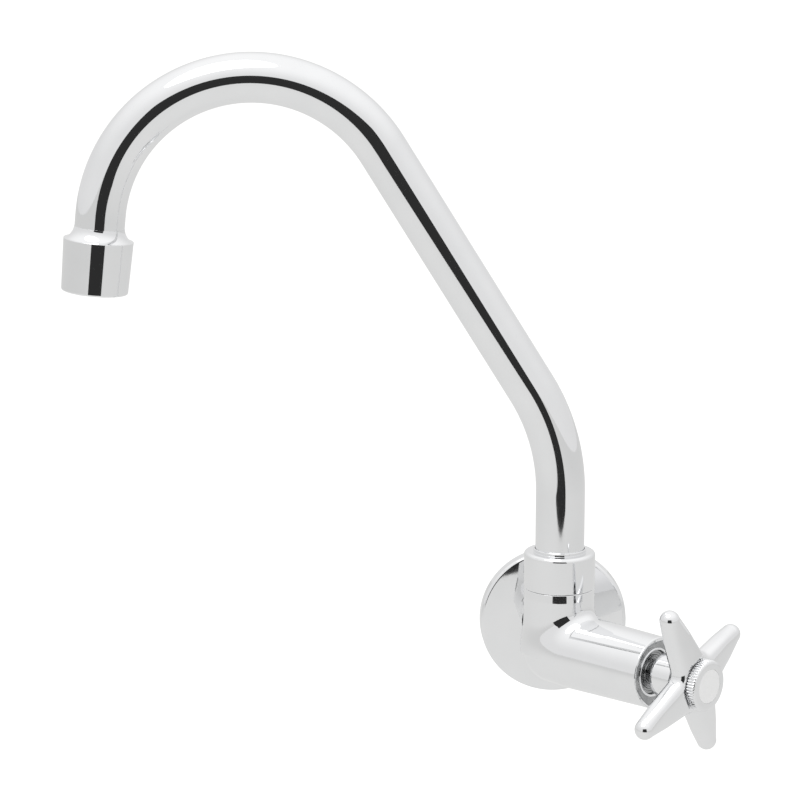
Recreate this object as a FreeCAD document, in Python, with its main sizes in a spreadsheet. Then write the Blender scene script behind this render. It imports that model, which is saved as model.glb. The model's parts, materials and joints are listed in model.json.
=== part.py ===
# Wall-mounted kitchen tap: flange, body with a slanting barrel, cross handle and swan-neck spout
# Origin: inlet axis on the wall face. +Z up, -Y out of the wall into the room, +X to the right.
import FreeCAD, Part
import Sketcher
import math
import os
import re

# Driving dimensions in millimetres and degrees: name, value, what it measures
DIMENSIONS = [
    ("spout_axis_out", 40, "wall face to the spout's turning axis"),
    ("barrel_angle", 47, "barrel's turn from straight out towards the right"),
    # Body
    ("body_round_radius", 14.2, "round back of the barrel"),
    ("barrel_root_radius", 14.6, "barrel, at its widest"),
    ("barrel_root_out", 9, "spout axis to the barrel's widest place"),
    ("barrel_mouth_radius", 13.8, "barrel, outside at its mouth"),
    ("barrel_length", 48.5, "spout axis to the barrel's mouth"),
    ("barrel_lip_land", 0.2, "flat left inside the barrel's rounded lip"),
    ("riser_radius", 13.9, "riser under the collar nut"),
    ("riser_top", 24.7, "seam between riser and collar nut"),
    ("neck_radius", 11.6, "threaded neck inside the collar nut"),
    ("neck_height", 9, "threaded neck above the seam"),
    ("junction_rounding", 3, "fillet where riser, barrel and inlet meet"),
    ("inlet_neck_radius", 12, "inlet neck between body and wall"),
    ("inlet_thread_radius", 10.48, "G 1/2 inlet shank"),
    ("inlet_thread_length", 18, "shank behind the wall face"),
    ("inlet_bore_radius", 6, "waterway of the inlet"),
    ("seat_bore_radius", 4.5, "waterway through the seat"),
    ("seat_rim_width", 1.8, "raised rim that the washer closes on"),
    ("seat_out", 9, "spout axis to the seat's face"),
    ("seat_rim_height", 1.5, "seat's face above the chamber's floor"),
    ("chamber_radius", 9, "valve chamber"),
    ("chamber_end", 24, "outer end of the valve chamber"),
    ("headwork_thread_radius", 10.4, "G 1/2 thread of the headwork"),
    ("mouth_floor_out", 39, "floor of the barrel's mouth"),
    ("mouth_radius", 12.75, "opening of the barrel's mouth"),
    ("port_radius", 2.6, "slanted waterway from chamber to spout"),
    ("port_start_out", 3, "slanted waterway, upper end from the spout axis"),
    ("port_start_height", 13.5, "slanted waterway, upper end above the inlet axis"),
    ("port_angle", 31.4, "slanted waterway's fall"),
    ("port_length", 10.6, "slanted waterway's length"),
    # Wall flange
    ("flange_radius", 29.8, "rim of the wall flange"),
    ("flange_rise", 0.5, "flange's face, from its rounded edge to its hole"),
    ("flange_wall", 1, "sheet of the flange"),
    ("flange_rim_height", 3, "straight rim of the flange"),
    ("flange_rim_rounding", 2.6, "rounded edge of the flange"),
    ("flange_dome_radius", 400, "curve of the flange's nearly flat face"),
    ("flange_hole_gap", 0.6, "inlet neck to the flange's hole"),
    ("grip_ring_section", 1.5, "half thickness of the rubber ring"),
    ("grip_ring_gap", 0.4, "rubber ring to the flange's inside"),
    # Collar nut
    ("collar_radius", 13.9, "collar nut, outside"),
    ("collar_height", 15.3, "collar nut, from the seam to its top"),
    ("collar_rounding", 2.6, "rounded top edge of the collar nut"),
    ("collar_bore_gap", 0.5, "collar nut's hole round the tube"),
    ("slide_ring_thickness", 1, "nylon ring beside the spigot's shoulder"),
    # Spout
    ("tube_radius", 9.525, "three-quarter inch spout tube, outside"),
    ("tube_wall", 1, "spout tube's wall"),
    ("lower_straight_top", 62.6, "inlet axis to the end of the lower straight"),
    ("first_bend_radius", 78.1, "first bend on the tube's centre line"),
    ("first_bend_angle", 31.9, "first bend's turn"),
    ("slope_length", 107.6, "sloping straight"),
    ("arch_radius", 58.1, "arch on the tube's centre line"),
    ("arch_angle", 142.3, "arch's turn"),
    ("end_straight_length", 29.3, "last straight, to the outlet's lower face"),
    ("shoulder_radius", 11.1, "spigot's shoulder, held by the collar nut"),
    ("shoulder_height", 2, "spigot's shoulder, thickness"),
    ("socket_radius", 9.56, "socket for the spigot"),
    ("socket_floor", 12, "floor of the socket above the inlet axis"),
    ("spigot_clearance", 0.05, "spigot to socket, on the radius"),
    ("spigot_end_gap", 0.6, "spigot's lower end above the socket's floor"),
    ("spigot_bore_radius", 6, "waterway of the spigot"),
    ("spigot_plug_length", 8, "spigot inside the tube"),
    ("o_ring_section", 0.72, "half thickness of the spigot's seals"),
    ("o_ring_groove_width", 2.2, "groove of a spigot seal"),
    ("o_ring_first", 3.6, "spigot's end to its first seal"),
    ("o_ring_pitch", 6, "first to second spigot seal"),
    ("seal_clearance", 0.02, "seal to its bore, on the radius"),
    # Outlet
    ("outlet_radius", 12.75, "outlet ferrule at its lower end"),
    ("outlet_top_radius", 13.35, "outlet ferrule at its crisp upper edge"),
    ("outlet_length", 20.2, "outlet ferrule's cylinder"),
    ("outlet_land", 0.15, "flat left inside the ferrule's rounded lower edge"),
    ("outlet_step_radius", 12.5, "foot of the ferrule's flare"),
    ("outlet_flare_length", 4.7, "flare from the cylinder to the tube"),
    ("outlet_flare_radius", 6, "curve of the flare"),
    ("outlet_flare_land", 0.25, "flat between the flare and the tube"),
    ("outlet_tube_seat", 14.7, "tube's end above the outlet's lower face"),
    ("regulator_radius", 11.95, "M24 thread of the jet regulator"),
    ("regulator_length", 9, "jet regulator's housing"),
    ("regulator_recess", 0.4, "jet regulator inside the ferrule's face"),
    ("regulator_gap", 0.05, "thread play, on the radius"),
    ("regulator_wall", 1.3, "wall of the regulator's housing"),
    ("regulator_lip", 1.2, "lip that holds the insert"),
    ("regulator_lip_height", 1, "height of that lip"),
    ("insert_height", 6, "jet regulator's insert"),
    ("insert_hole_radius", 1, "one hole of the insert"),
    ("insert_inner_reach", 4, "inner ring of holes"),
    ("insert_inner_count", 8, "holes in the inner ring"),
    ("insert_outer_reach", 8, "outer ring of holes"),
    ("insert_outer_count", 16, "holes in the outer ring"),
    ("screen_thickness", 0.6, "filter screen"),
    ("screen_opening", 2, "square opening of the filter screen"),
    ("screen_pitch", 2.9, "pitch of the screen's openings"),
    ("screen_count", 5, "openings along each side of the grid"),
    ("gasket_thickness", 1.5, "flat seal above the jet regulator"),
    ("gasket_width", 2.6, "flat seal, ring width"),
    # Headwork
    ("headwork_nose_out", 18, "spout axis to the headwork's inner end"),
    ("headwork_nose_gap", 0.4, "headwork's nose inside the chamber"),
    ("headwork_step_gap", 0.3, "headwork's step to the chamber's end"),
    ("headwork_hex", 21, "headwork's hexagon across flats"),
    ("headwork_face_out", 48, "spout axis to the hexagon's front"),
    ("headwork_dish_radius", 9.1, "inner edge of the dished front"),
    ("headwork_dish_depth", 0.8, "depth of the dished front"),
    ("headwork_gasket_thickness", 1, "fibre ring under the hexagon"),
    ("gland_room_radius", 8.6, "threaded room for the gland nut"),
    ("gland_room_floor_out", 42, "floor of the gland's room"),
    ("gland_nut_end_out", 46.4, "spout axis to the gland nut's front"),
    ("gland_nut_height", 2, "gland nut"),
    ("thread_gap", 0.05, "play between screwed pieces, on the radius"),
    ("packing_height", 1.4, "gland packing"),
    ("piston_radius", 6.9, "valve piston"),
    ("piston_flats", 12.2, "valve piston across its flats"),
    ("piston_gap", 0.05, "valve piston to its bore"),
    ("piston_bore_end", 30, "outer end of the piston's bore"),
    ("piston_length", 14, "valve piston"),
    ("piston_travel", 3, "lift of the washer"),
    ("piston_end_gap", 0.5, "room past the spindle's tip at full lift"),
    ("washer_radius", 6.6, "seat washer"),
    ("washer_thickness", 3, "seat washer"),
    ("washer_screw_radius", 1.75, "screw that holds the washer"),
    ("washer_screw_head_radius", 3.1, "its head"),
    ("washer_screw_head_height", 1.6, "its head"),
    ("washer_screw_grip", 3.4, "its length inside the piston"),
    # Spindle and handle
    ("spindle_thread_radius", 3.6, "spindle's driving thread"),
    ("spindle_tip_out", 19.8, "spout axis to the spindle's inner end"),
    ("spindle_collar_radius", 5.9, "spindle's collar"),
    ("spindle_collar_height", 2.1, "spindle's collar"),
    ("spindle_collar_gap", 0.1, "play round the collar"),
    ("spindle_collar_out", 31.8, "spout axis to the collar's inner face"),
    ("spindle_radius", 4, "spindle in its bearing"),
    ("spindle_gap", 0.05, "spindle to its bearing, on the radius"),
    ("spindle_end_gap", 0.3, "spindle's outer end to the handle's web"),
    ("square_start_depth", 0.3, "start of the spindle's square inside the handle"),
    ("square_side", 5.5, "spindle's square"),
    ("square_gap", 0.05, "square to the handle's socket"),
    ("spindle_seal_section", 0.6, "half thickness of the spindle's seals"),
    ("spindle_seal_width", 1.7, "groove of a spindle seal"),
    ("spindle_seal_first", 36, "spout axis to the first spindle seal"),
    ("spindle_seal_pitch", 3.2, "first to second spindle seal"),
    ("clip_radius", 5.6, "clip outside the bearing"),
    ("clip_thickness", 0.8, "clip outside the bearing"),
    ("clip_groove_depth", 0.6, "clip's groove in the spindle"),
    ("clip_mouth", 5, "gap that lets the clip on"),
    ("handle_back_gap", 4.3, "gland nut's front to the handle's back"),
    ("hub_back_radius", 7.9, "handle's boss"),
    ("hub_back_rounding", 1.6, "rounded back edge of the boss"),
    ("hub_waist_length", 7.3, "handle's back to the boss's widening"),
    ("hub_front_radius", 9.5, "handle's hub under the cap"),
    ("hub_front_rise", 5.6, "plane of the arms to the hub's front"),
    ("arm_rise", 12.5, "handle's back to the plane of the arms"),
    ("arm_count", 4, "arms of the handle"),
    ("arm_angle", 25, "first arm's turn from straight up"),
    ("arm_reach", 33.2, "handle axis to an arm's tip"),
    ("arm_tip_radius", 3.9, "rounded tip of an arm"),
    ("arm_root_radius", 8.1, "arm at the hub"),
    ("arm_root_reach", 8, "handle axis to the arm's root"),
    ("handle_recess_depth", 3.2, "hub's front to the screw's seat"),
    ("handle_web", 1.4, "web that the screw clamps"),
    ("handle_recess_radius", 6.6, "recess for screw and cap"),
    ("screw_radius", 1.95, "M4 handle screw"),
    ("screw_head_radius", 3.4, "handle screw's head"),
    ("screw_head_height", 2.2, "handle screw's head"),
    ("screw_length", 9, "handle screw under its head"),
    ("screw_slot_width", 1, "slot of the handle screw"),
    ("screw_slot_depth", 1, "slot of the handle screw"),
    ("screw_end_gap", 1, "hole past the screw's end"),
    ("cap_radius", 9.8, "handle cap at its base"),
    ("cap_front_radius", 8.1, "handle cap's front"),
    ("cap_height", 4, "handle cap"),
    ("cap_side_height", 2, "serrated side of the cap"),
    ("cap_front_rounding", 2.6, "curve from the cap's side to its front"),
    ("cap_seam", 0.3, "dark seam between hub and cap"),
    ("cap_skirt_length", 2, "cap's skirt in the hub"),
    ("cap_skirt_gap", 0.05, "cap's skirt to the recess"),
    ("cap_skirt_wall", 1, "cap's skirt"),
    ("cap_tooth_count", 54, "serrations of the cap"),
    ("cap_tooth_depth", 0.35, "depth of a serration"),
    ("cap_tooth_share", 0.8, "groove's mouth as a part of the space it has"),
    ("badge_radius", 6.5, "bare badge in the cap"),
    ("badge_thickness", 0.8, "bare badge in the cap"),
    ("badge_gap", 0.05, "badge to its recess"),
    ("badge_set_back", 0.15, "badge below the cap's front"),
]

# Reference points worked out from the dimensions above
FLANGE_EDGE = "(flange_rim_height + flange_rim_rounding)"
FLANGE_TOP = "(" + FLANGE_EDGE + " + flange_rise)"
LIP_UNDERSIDE = "riser_top + neck_height + shoulder_height + 2 * slide_ring_thickness"
SHOULDER_FOOT = "riser_top + neck_height + slide_ring_thickness"
TUBE_FOOT = SHOULDER_FOOT + " + shoulder_height"
TOTAL_TURN = "(first_bend_angle + arch_angle)"
OUTLET_SIDE = (
    "(first_bend_radius * (1 - cos(first_bend_angle)) + slope_length * sin(first_bend_angle)"
    " + arch_radius * (cos(first_bend_angle) - cos" + TOTAL_TURN + ")"
    " + end_straight_length * sin" + TOTAL_TURN + ")"
)
OUTLET_HEIGHT = (
    "(lower_straight_top + first_bend_radius * sin(first_bend_angle)"
    " + slope_length * cos(first_bend_angle)"
    " + arch_radius * (sin" + TOTAL_TURN + " - sin(first_bend_angle))"
    " + end_straight_length * cos" + TOTAL_TURN + ")"
)
SPIGOT_END = "socket_floor + spigot_end_gap"
SPIGOT_RADIUS = "(socket_radius - spigot_clearance)"
PISTON_FOOT = "(seat_out + washer_thickness)"
HEX_FOOT = "(mouth_floor_out + headwork_gasket_thickness)"
REGULATOR_TOP = "(regulator_recess + regulator_length)"
HANDLE_BACK = "(gland_nut_end_out + handle_back_gap)"
SQUARE_START = "(" + HANDLE_BACK + " + square_start_depth)"
ARM_OUT = "(" + HANDLE_BACK + " + arm_rise)"
HUB_FRONT = "(" + ARM_OUT + " + hub_front_rise)"
SCREW_SEAT = "(" + HUB_FRONT + " - handle_recess_depth)"
SPINDLE_END = "(" + SCREW_SEAT + " - handle_web - spindle_end_gap)"
CAP_FOOT = "(" + HUB_FRONT + " + cap_seam)"
SEAL_COUNT = 2
TOLERANCE = 0.001

# Where the turned pieces stand: local Z is the axis that they are turned about
AT_SPOUT = "placement(vector(0; -spout_axis_out; 0); rotation(0; 0; 0))"
AT_BARREL = "placement(vector(0; -spout_axis_out; 0); rotation(barrel_angle; 0; 90))"
AT_WALL = "placement(vector(0; 0; 0); rotation(0; 0; 90))"
AT_OUTLET = (
    "placement(vector(-" + OUTLET_SIDE + "; -spout_axis_out; " + OUTLET_HEIGHT + ");"
    " rotation(0; 180 - " + TOTAL_TURN + "; 0))"
)

doc = FreeCAD.newDocument("wall_tap")
sheet = doc.addObject("Spreadsheet::Sheet", "Sizes")
for row, (alias, value, meaning) in enumerate(DIMENSIONS, start=1):
    sheet.set("A%d" % row, str(value))
    sheet.setAlias("A%d" % row, alias)
    sheet.set("B%d" % row, meaning)
doc.recompute()
ALIASES = {alias for alias, value, meaning in DIMENSIONS}
sub_parts = []


def bound(formula):
    """The formula with every dimension's name pointing at the sheet."""
    return re.sub(r"[a-z]\w*", lambda word: "Sizes." + word[0] if word[0] in ALIASES else word[0], formula)


def value_of(formula):
    return float(sheet.evalExpression(bound(formula)))


def bind(item, settings):
    """Bind properties to formulas, given as a dictionary."""
    for name, formula in settings.items():
        item.setExpression(name, bound(formula))


def keep(item, label, place):
    """Give a finished sub-part its name and its place."""
    item.Label = label
    bind(item, {"Placement": place})
    sub_parts.append(item)
    return item


def new_body(name):
    return doc.addObject("PartDesign::Body", name + "_body")


def origin_feature(body, role):
    return [feature for feature in body.Origin.OriginFeatures if feature.Role == role][0]


def new_sketch(body, name, plane="XZ_Plane", offset=None):
    """A sketch on one of the body's own planes, moved by an offset formula if given."""
    sketch = body.newObject("Sketcher::SketchObject", name)
    sketch.AttachmentSupport = (origin_feature(body, plane), [""])
    sketch.MapMode = "FlatFace"
    if offset:
        bind(sketch, {"AttachmentOffset": offset})
    return sketch


def arc_between(start, end, radius):
    """Arc from start to end; a positive radius has its centre on the left of the way."""
    middle = (start + end) * 0.5
    half = (end - start).Length / 2
    left = FreeCAD.Vector(start.y - end.y, end.x - start.x, 0).normalize()
    side = math.copysign(1, radius)
    centre = middle + left * side * math.sqrt(max(radius * radius - half * half, 0))
    angles = [math.atan2(point.y - centre.y, point.x - centre.x) for point in (start, end)]
    if side < 0:
        angles.reverse()
    circle = Part.Circle(centre, FreeCAD.Vector(0, 0, 1), abs(radius))
    return Part.ArcOfCircle(circle, angles[0], angles[1])


def draw_outline(sketch, corners):
    """Closed outline. A corner is (x, y), or (x, y, radius) for an arc that leads on to the next."""
    points = [FreeCAD.Vector(value_of(corner[0]), value_of(corner[1]), 0) for corner in corners]
    first = sketch.GeometryCount
    ends = []
    for number, corner in enumerate(corners):
        start = points[number]
        end = points[(number + 1) % len(points)]
        if len(corner) == 3:
            radius = value_of(corner[2])
            line = sketch.addGeometry(arc_between(start, end, radius), False)
            ends.append((1, 2) if radius > 0 else (2, 1))
            turn = sketch.addConstraint(Sketcher.Constraint("Radius", line, abs(radius)))
            sketch.setExpression("Constraints[%d]" % turn, bound("abs(%s)" % corner[2]))
        else:
            sketch.addGeometry(Part.LineSegment(start, end), False)
            ends.append((1, 2))
    for number, corner in enumerate(corners):
        after = (number + 1) % len(corners)
        sketch.addConstraint(
            Sketcher.Constraint("Coincident", first + number, ends[number][1], first + after, ends[after][0]))
        for kind, formula, spot in (("DistanceX", corner[0], points[number].x),
                                    ("DistanceY", corner[1], points[number].y)):
            rule = sketch.addConstraint(
                Sketcher.Constraint(kind, -1, 1, first + number, ends[number][0], spot))
            sketch.setExpression("Constraints[%d]" % rule, bound(formula))
    return sketch


def draw_circles(sketch, circles):
    """Circles given as (x, y, radius)."""
    for across, up, radius in circles:
        centre = FreeCAD.Vector(value_of(across), value_of(up), 0)
        circle = sketch.addGeometry(Part.Circle(centre, FreeCAD.Vector(0, 0, 1), value_of(radius)), False)
        for kind, place, formula in (("DistanceX", centre.x, across), ("DistanceY", centre.y, up)):
            rule = sketch.addConstraint(Sketcher.Constraint(kind, -1, 1, circle, 3, place))
            sketch.setExpression("Constraints[%d]" % rule, bound(formula))
        rule = sketch.addConstraint(Sketcher.Constraint("Radius", circle, value_of(radius)))
        sketch.setExpression("Constraints[%d]" % rule, bound(radius))
    return sketch


def box_outline(left, low, right, high):
    return [(left, low), (right, low), (right, high), (left, high)]


def volume(body):
    doc.recompute()
    return body.Shape.Volume


def turn_feature(body, name, corners, kind="Revolution", offset=None, plane="XZ_Plane"):
    """Turn an outline about its sketch's upright axis, adding or cutting material."""
    before = volume(body) if body.Tip else 0
    sketch = draw_outline(new_sketch(body, name + "_sketch", plane, offset), corners)
    feature = body.newObject("PartDesign::" + kind, name)
    feature.Profile = sketch
    feature.ReferenceAxis = (sketch, ["V_Axis"])
    feature.Angle = 360
    change = volume(body) - before
    if change * (1 if kind == "Revolution" else -1) <= 0:
        raise RuntimeError(name + " changed nothing")
    return feature


def round_rings(body, name, rings, radius):
    """Round circular edges about local Z, found by their radius and height."""
    doc.recompute()
    base = body.Tip
    names = []
    for ring_radius, height in rings:
        for number, edge in enumerate(base.Shape.Edges, start=1):
            if not isinstance(edge.Curve, Part.Circle):
                continue
            off_axis = math.hypot(edge.Curve.Center.x, edge.Curve.Center.y)
            misfit = abs(edge.Curve.Radius - value_of(ring_radius)) + abs(edge.Curve.Center.z - value_of(height))
            if off_axis + misfit < TOLERANCE:
                names.append("Edge%d" % number)
    feature = body.newObject("PartDesign::Fillet", name)
    feature.Base = (base, names)
    bind(feature, {"Radius": radius})
    return feature


def turned(label, corners, place):
    """A whole sub-part that is one turned outline."""
    body = new_body(label)
    turn_feature(body, label + "_turning", corners)
    return keep(body, label, place)


def ring_outline(inner, outer, low, high):
    return box_outline(inner, low, outer, high)


def seal_rings(label, centre_radius, section, heights, place):
    """Round-section seals on one axis, as one group."""
    rings = []
    for number, height in enumerate(heights, start=1):
        ring = doc.addObject("Part::Torus", "%s_ring_%d" % (label, number))
        bind(ring, {"Radius1": centre_radius, "Radius2": section, "Placement.Base.z": height})
        rings.append(ring)
    group = doc.addObject("Part::Compound", label + "_group")
    group.Links = rings
    return keep(group, label, place)


def make_valve_body():
    """Forged body: barrel, riser, inlet neck and shank, with the waterways and the seat."""
    body = new_body("valve_body")
    along_barrel = "placement(vector(0; 0; 0); rotation(barrel_angle - 180; 0; 0))"
    towards_wall = "placement(vector(0; 0; 0); rotation(0; 0; 0))"
    turn_feature(body, "barrel", [
        ("0", "-body_round_radius", "body_round_radius"),
        ("body_round_radius", "0"),
        ("barrel_root_radius", "barrel_root_out"),
        ("barrel_mouth_radius", "barrel_length"),
        ("0", "barrel_length"),
    ], plane="XY_Plane", offset=along_barrel)
    turn_feature(body, "riser", box_outline("0", "0", "riser_radius", "riser_top"))
    turn_feature(body, "inlet_neck", box_outline("0", "0", "inlet_neck_radius", "spout_axis_out"),
                 plane="XY_Plane", offset=towards_wall)
    round_barrel_lip(body)
    round_junctions(body)
    turn_feature(body, "neck", box_outline("0", "riser_top", "neck_radius", "riser_top + neck_height"))
    turn_feature(body, "inlet_shank", [
        ("0", "spout_axis_out"),
        ("inlet_thread_radius", "spout_axis_out"),
        ("inlet_thread_radius", "spout_axis_out + inlet_thread_length"),
        ("0", "spout_axis_out + inlet_thread_length"),
    ], plane="XY_Plane", offset=towards_wall)
    turn_feature(body, "spigot_socket",
                 box_outline("0", "socket_floor", "socket_radius", "riser_top + neck_height"), "Groove")
    turn_feature(body, "inlet_waterway",
                 box_outline("0", "0", "inlet_bore_radius", "spout_axis_out + inlet_thread_length"),
                 "Groove", plane="XY_Plane", offset=towards_wall)
    turn_feature(body, "valve_chamber", [
        ("0", "0"),
        ("seat_bore_radius", "0"),
        ("seat_bore_radius", "seat_out"),
        ("seat_bore_radius + seat_rim_width", "seat_out"),
        ("seat_bore_radius + seat_rim_width", "seat_out - seat_rim_height"),
        ("chamber_radius", "seat_out - seat_rim_height"),
        ("chamber_radius", "chamber_end"),
        ("headwork_thread_radius + thread_gap", "chamber_end"),
        ("headwork_thread_radius + thread_gap", "mouth_floor_out"),
        ("mouth_radius", "mouth_floor_out"),
        ("mouth_radius", "barrel_length"),
        ("0", "barrel_length"),
    ], "Groove", plane="XY_Plane", offset=along_barrel)
    cut_port(body)
    return keep(body, "valve_body", AT_SPOUT)


def round_junctions(body):
    """Fillet the curved edges where riser, barrel and inlet neck run into each other."""
    doc.recompute()
    base = body.Tip
    names = []
    for number, edge in enumerate(base.Shape.Edges, start=1):
        on_riser_side = 0 < edge.CenterOfMass.z < value_of("riser_top - junction_rounding")
        crossing = not isinstance(edge.Curve, (Part.Line, Part.Circle))
        if crossing and on_riser_side:
            names.append("Edge%d" % number)
    feature = body.newObject("PartDesign::Fillet", "junction_fillet")
    feature.Base = (base, names)
    bind(feature, {"Radius": "junction_rounding"})


def round_barrel_lip(body):
    """Round the outer edge of the barrel's mouth."""
    doc.recompute()
    base = body.Tip
    mouth = "barrel_mouth_radius"
    names = ["Edge%d" % number for number, edge in enumerate(base.Shape.Edges, start=1)
             if isinstance(edge.Curve, Part.Circle)
             and abs(edge.Curve.Radius - value_of(mouth)) < TOLERANCE]
    feature = body.newObject("PartDesign::Fillet", "barrel_lip")
    feature.Base = (base, names)
    bind(feature, {"Radius": "barrel_mouth_radius - mouth_radius - barrel_lip_land"})


def cut_port(body):
    """Slanted waterway from the valve chamber up to the spout's socket."""
    before = volume(body)
    port = body.newObject("PartDesign::SubtractiveCylinder", "spout_port")
    port.AttachmentSupport = (origin_feature(body, "XY_Plane"), [""])
    port.MapMode = "FlatFace"
    start = "vector(port_start_out * sin(barrel_angle); -port_start_out * cos(barrel_angle); port_start_height)"
    slant = "rotation(barrel_angle - 90; 90 + port_angle; 0)"
    bind(port, {"Radius": "port_radius", "Height": "port_length",
                "AttachmentOffset": "placement(%s; %s)" % (start, slant)})
    if volume(body) >= before:
        raise RuntimeError("spout_port cut nothing")


def make_wall_flange():
    """Pressed cover against the wall: straight rim, rounded edge, shallow face and a hole for the neck."""
    hole = "inlet_neck_radius + flange_hole_gap"
    face_edge = "flange_radius - flange_rim_rounding"
    turned("wall_flange", [
        (hole, FLANGE_TOP),
        (hole, FLANGE_TOP + " - flange_wall", "-(flange_dome_radius - flange_wall)"),
        (face_edge, FLANGE_EDGE + " - flange_wall", "-(flange_rim_rounding - flange_wall)"),
        ("flange_radius - flange_wall", "flange_rim_height"),
        ("flange_radius - flange_wall", "0"),
        ("flange_radius", "0"),
        ("flange_radius", "flange_rim_height", "flange_rim_rounding"),
        (face_edge, FLANGE_EDGE, "flange_dome_radius"),
    ], AT_WALL)


def make_collar_nut():
    """Nut over the body's neck, with a lip that holds the spout's shoulder down."""
    body = new_body("collar_nut")
    lip_bore = "tube_radius + collar_bore_gap"
    top = "riser_top + collar_height"
    turn_feature(body, "collar_turning", [
        ("neck_radius + thread_gap", "riser_top"),
        ("collar_radius", "riser_top"),
        ("collar_radius", top),
        (lip_bore, top),
        (lip_bore, LIP_UNDERSIDE),
        ("neck_radius + thread_gap", LIP_UNDERSIDE),
    ])
    round_rings(body, "collar_top", [("collar_radius", top)], "collar_rounding")
    keep(body, "collar_nut", AT_SPOUT)


def make_slide_rings():
    """Two nylon rings, one on each side of the spigot's shoulder."""
    rings = []
    for name, low, inner in (("lower", "riser_top + neck_height", "socket_radius"),
                             ("upper", TUBE_FOOT, "tube_radius + collar_bore_gap")):
        ring_body = new_body("slide_ring_" + name)
        turn_feature(ring_body, "slide_ring_%s_turning" % name,
                     ring_outline(inner, "neck_radius", low, "%s + slide_ring_thickness" % low))
        rings.append(ring_body)
    group = doc.addObject("Part::Compound", "spout_slide_rings_group")
    group.Links = rings
    keep(group, "spout_slide_rings", AT_SPOUT)


def make_spout_tube():
    """Swan-neck tube: straight, slow bend, sloping straight, arch and a short straight end."""
    body = new_body("spout_tube")
    path = new_sketch(body, "spout_path")
    foot = value_of(TUBE_FOOT)
    first_turn = math.radians(value_of("first_bend_angle"))
    both_turns = math.radians(value_of(TOTAL_TURN))
    bend = value_of("first_bend_radius")
    arch = value_of("arch_radius")
    lower_top = FreeCAD.Vector(0, value_of("lower_straight_top"), 0)
    bend_centre = lower_top - FreeCAD.Vector(bend, 0, 0)
    slope_foot = bend_centre + FreeCAD.Vector(math.cos(first_turn), math.sin(first_turn), 0) * bend
    slope = FreeCAD.Vector(-math.sin(first_turn), math.cos(first_turn), 0)
    slope_top = slope_foot + slope * value_of("slope_length")
    arch_centre = slope_top - FreeCAD.Vector(math.cos(first_turn), math.sin(first_turn), 0) * arch
    arch_end = arch_centre + FreeCAD.Vector(math.cos(both_turns), math.sin(both_turns), 0) * arch
    run_down = FreeCAD.Vector(-math.sin(both_turns), math.cos(both_turns), 0)
    end = arch_end + run_down * (value_of("end_straight_length") - value_of("outlet_tube_seat"))
    upright = FreeCAD.Vector(0, 0, 1)
    sketch_lines = [
        Part.LineSegment(FreeCAD.Vector(0, foot, 0), lower_top),
        Part.ArcOfCircle(Part.Circle(bend_centre, upright, bend), 0, first_turn),
        Part.LineSegment(slope_foot, slope_top),
        Part.ArcOfCircle(Part.Circle(arch_centre, upright, arch), first_turn, both_turns),
        Part.LineSegment(arch_end, end),
    ]
    for line in sketch_lines:
        path.addGeometry(line, False)
    path.addConstraint(Sketcher.Constraint("PointOnObject", 0, 1, -2))
    path.addConstraint(Sketcher.Constraint("Vertical", 0))
    for number in range(len(sketch_lines) - 1):
        path.addConstraint(Sketcher.Constraint("Tangent", number, 2, number + 1, 1))
    rules = [
        (Sketcher.Constraint("DistanceY", -1, 1, 0, 1, foot), TUBE_FOOT),
        (Sketcher.Constraint("DistanceY", -1, 1, 0, 2, lower_top.y), "lower_straight_top"),
        (Sketcher.Constraint("Radius", 1, bend), "first_bend_radius"),
        (Sketcher.Constraint("Angle", 1, first_turn), "first_bend_angle"),
        (Sketcher.Constraint("Distance", 2, value_of("slope_length")), "slope_length"),
        (Sketcher.Constraint("Radius", 3, arch), "arch_radius"),
        (Sketcher.Constraint("Angle", 3, both_turns - first_turn), "arch_angle"),
        (Sketcher.Constraint("Distance", 4, (end - arch_end).Length),
         "end_straight_length - outlet_tube_seat"),
    ]
    for rule, formula in rules:
        number = path.addConstraint(rule)
        path.setExpression("Constraints[%d]" % number, bound(formula))
    section = new_sketch(body, "tube_section", "XY_Plane",
                         "placement(vector(0; 0; %s); rotation(0; 0; 0))" % TUBE_FOOT)
    draw_circles(section, [("0", "0", "tube_radius"), ("0", "0", "tube_radius - tube_wall")])
    pipe = body.newObject("PartDesign::AdditivePipe", "bent_tube")
    pipe.Profile = section
    pipe.Spine = (path, ["Edge%d" % (number + 1) for number in range(len(sketch_lines))])
    ring_area = math.pi * (value_of("tube_radius") ** 2 - value_of("tube_radius - tube_wall") ** 2)
    share = volume(body) / (ring_area * path.Shape.Length)
    print("spout tube: volume is %.4f of section times length" % share)
    keep(body, "spout_tube", AT_SPOUT)


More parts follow.
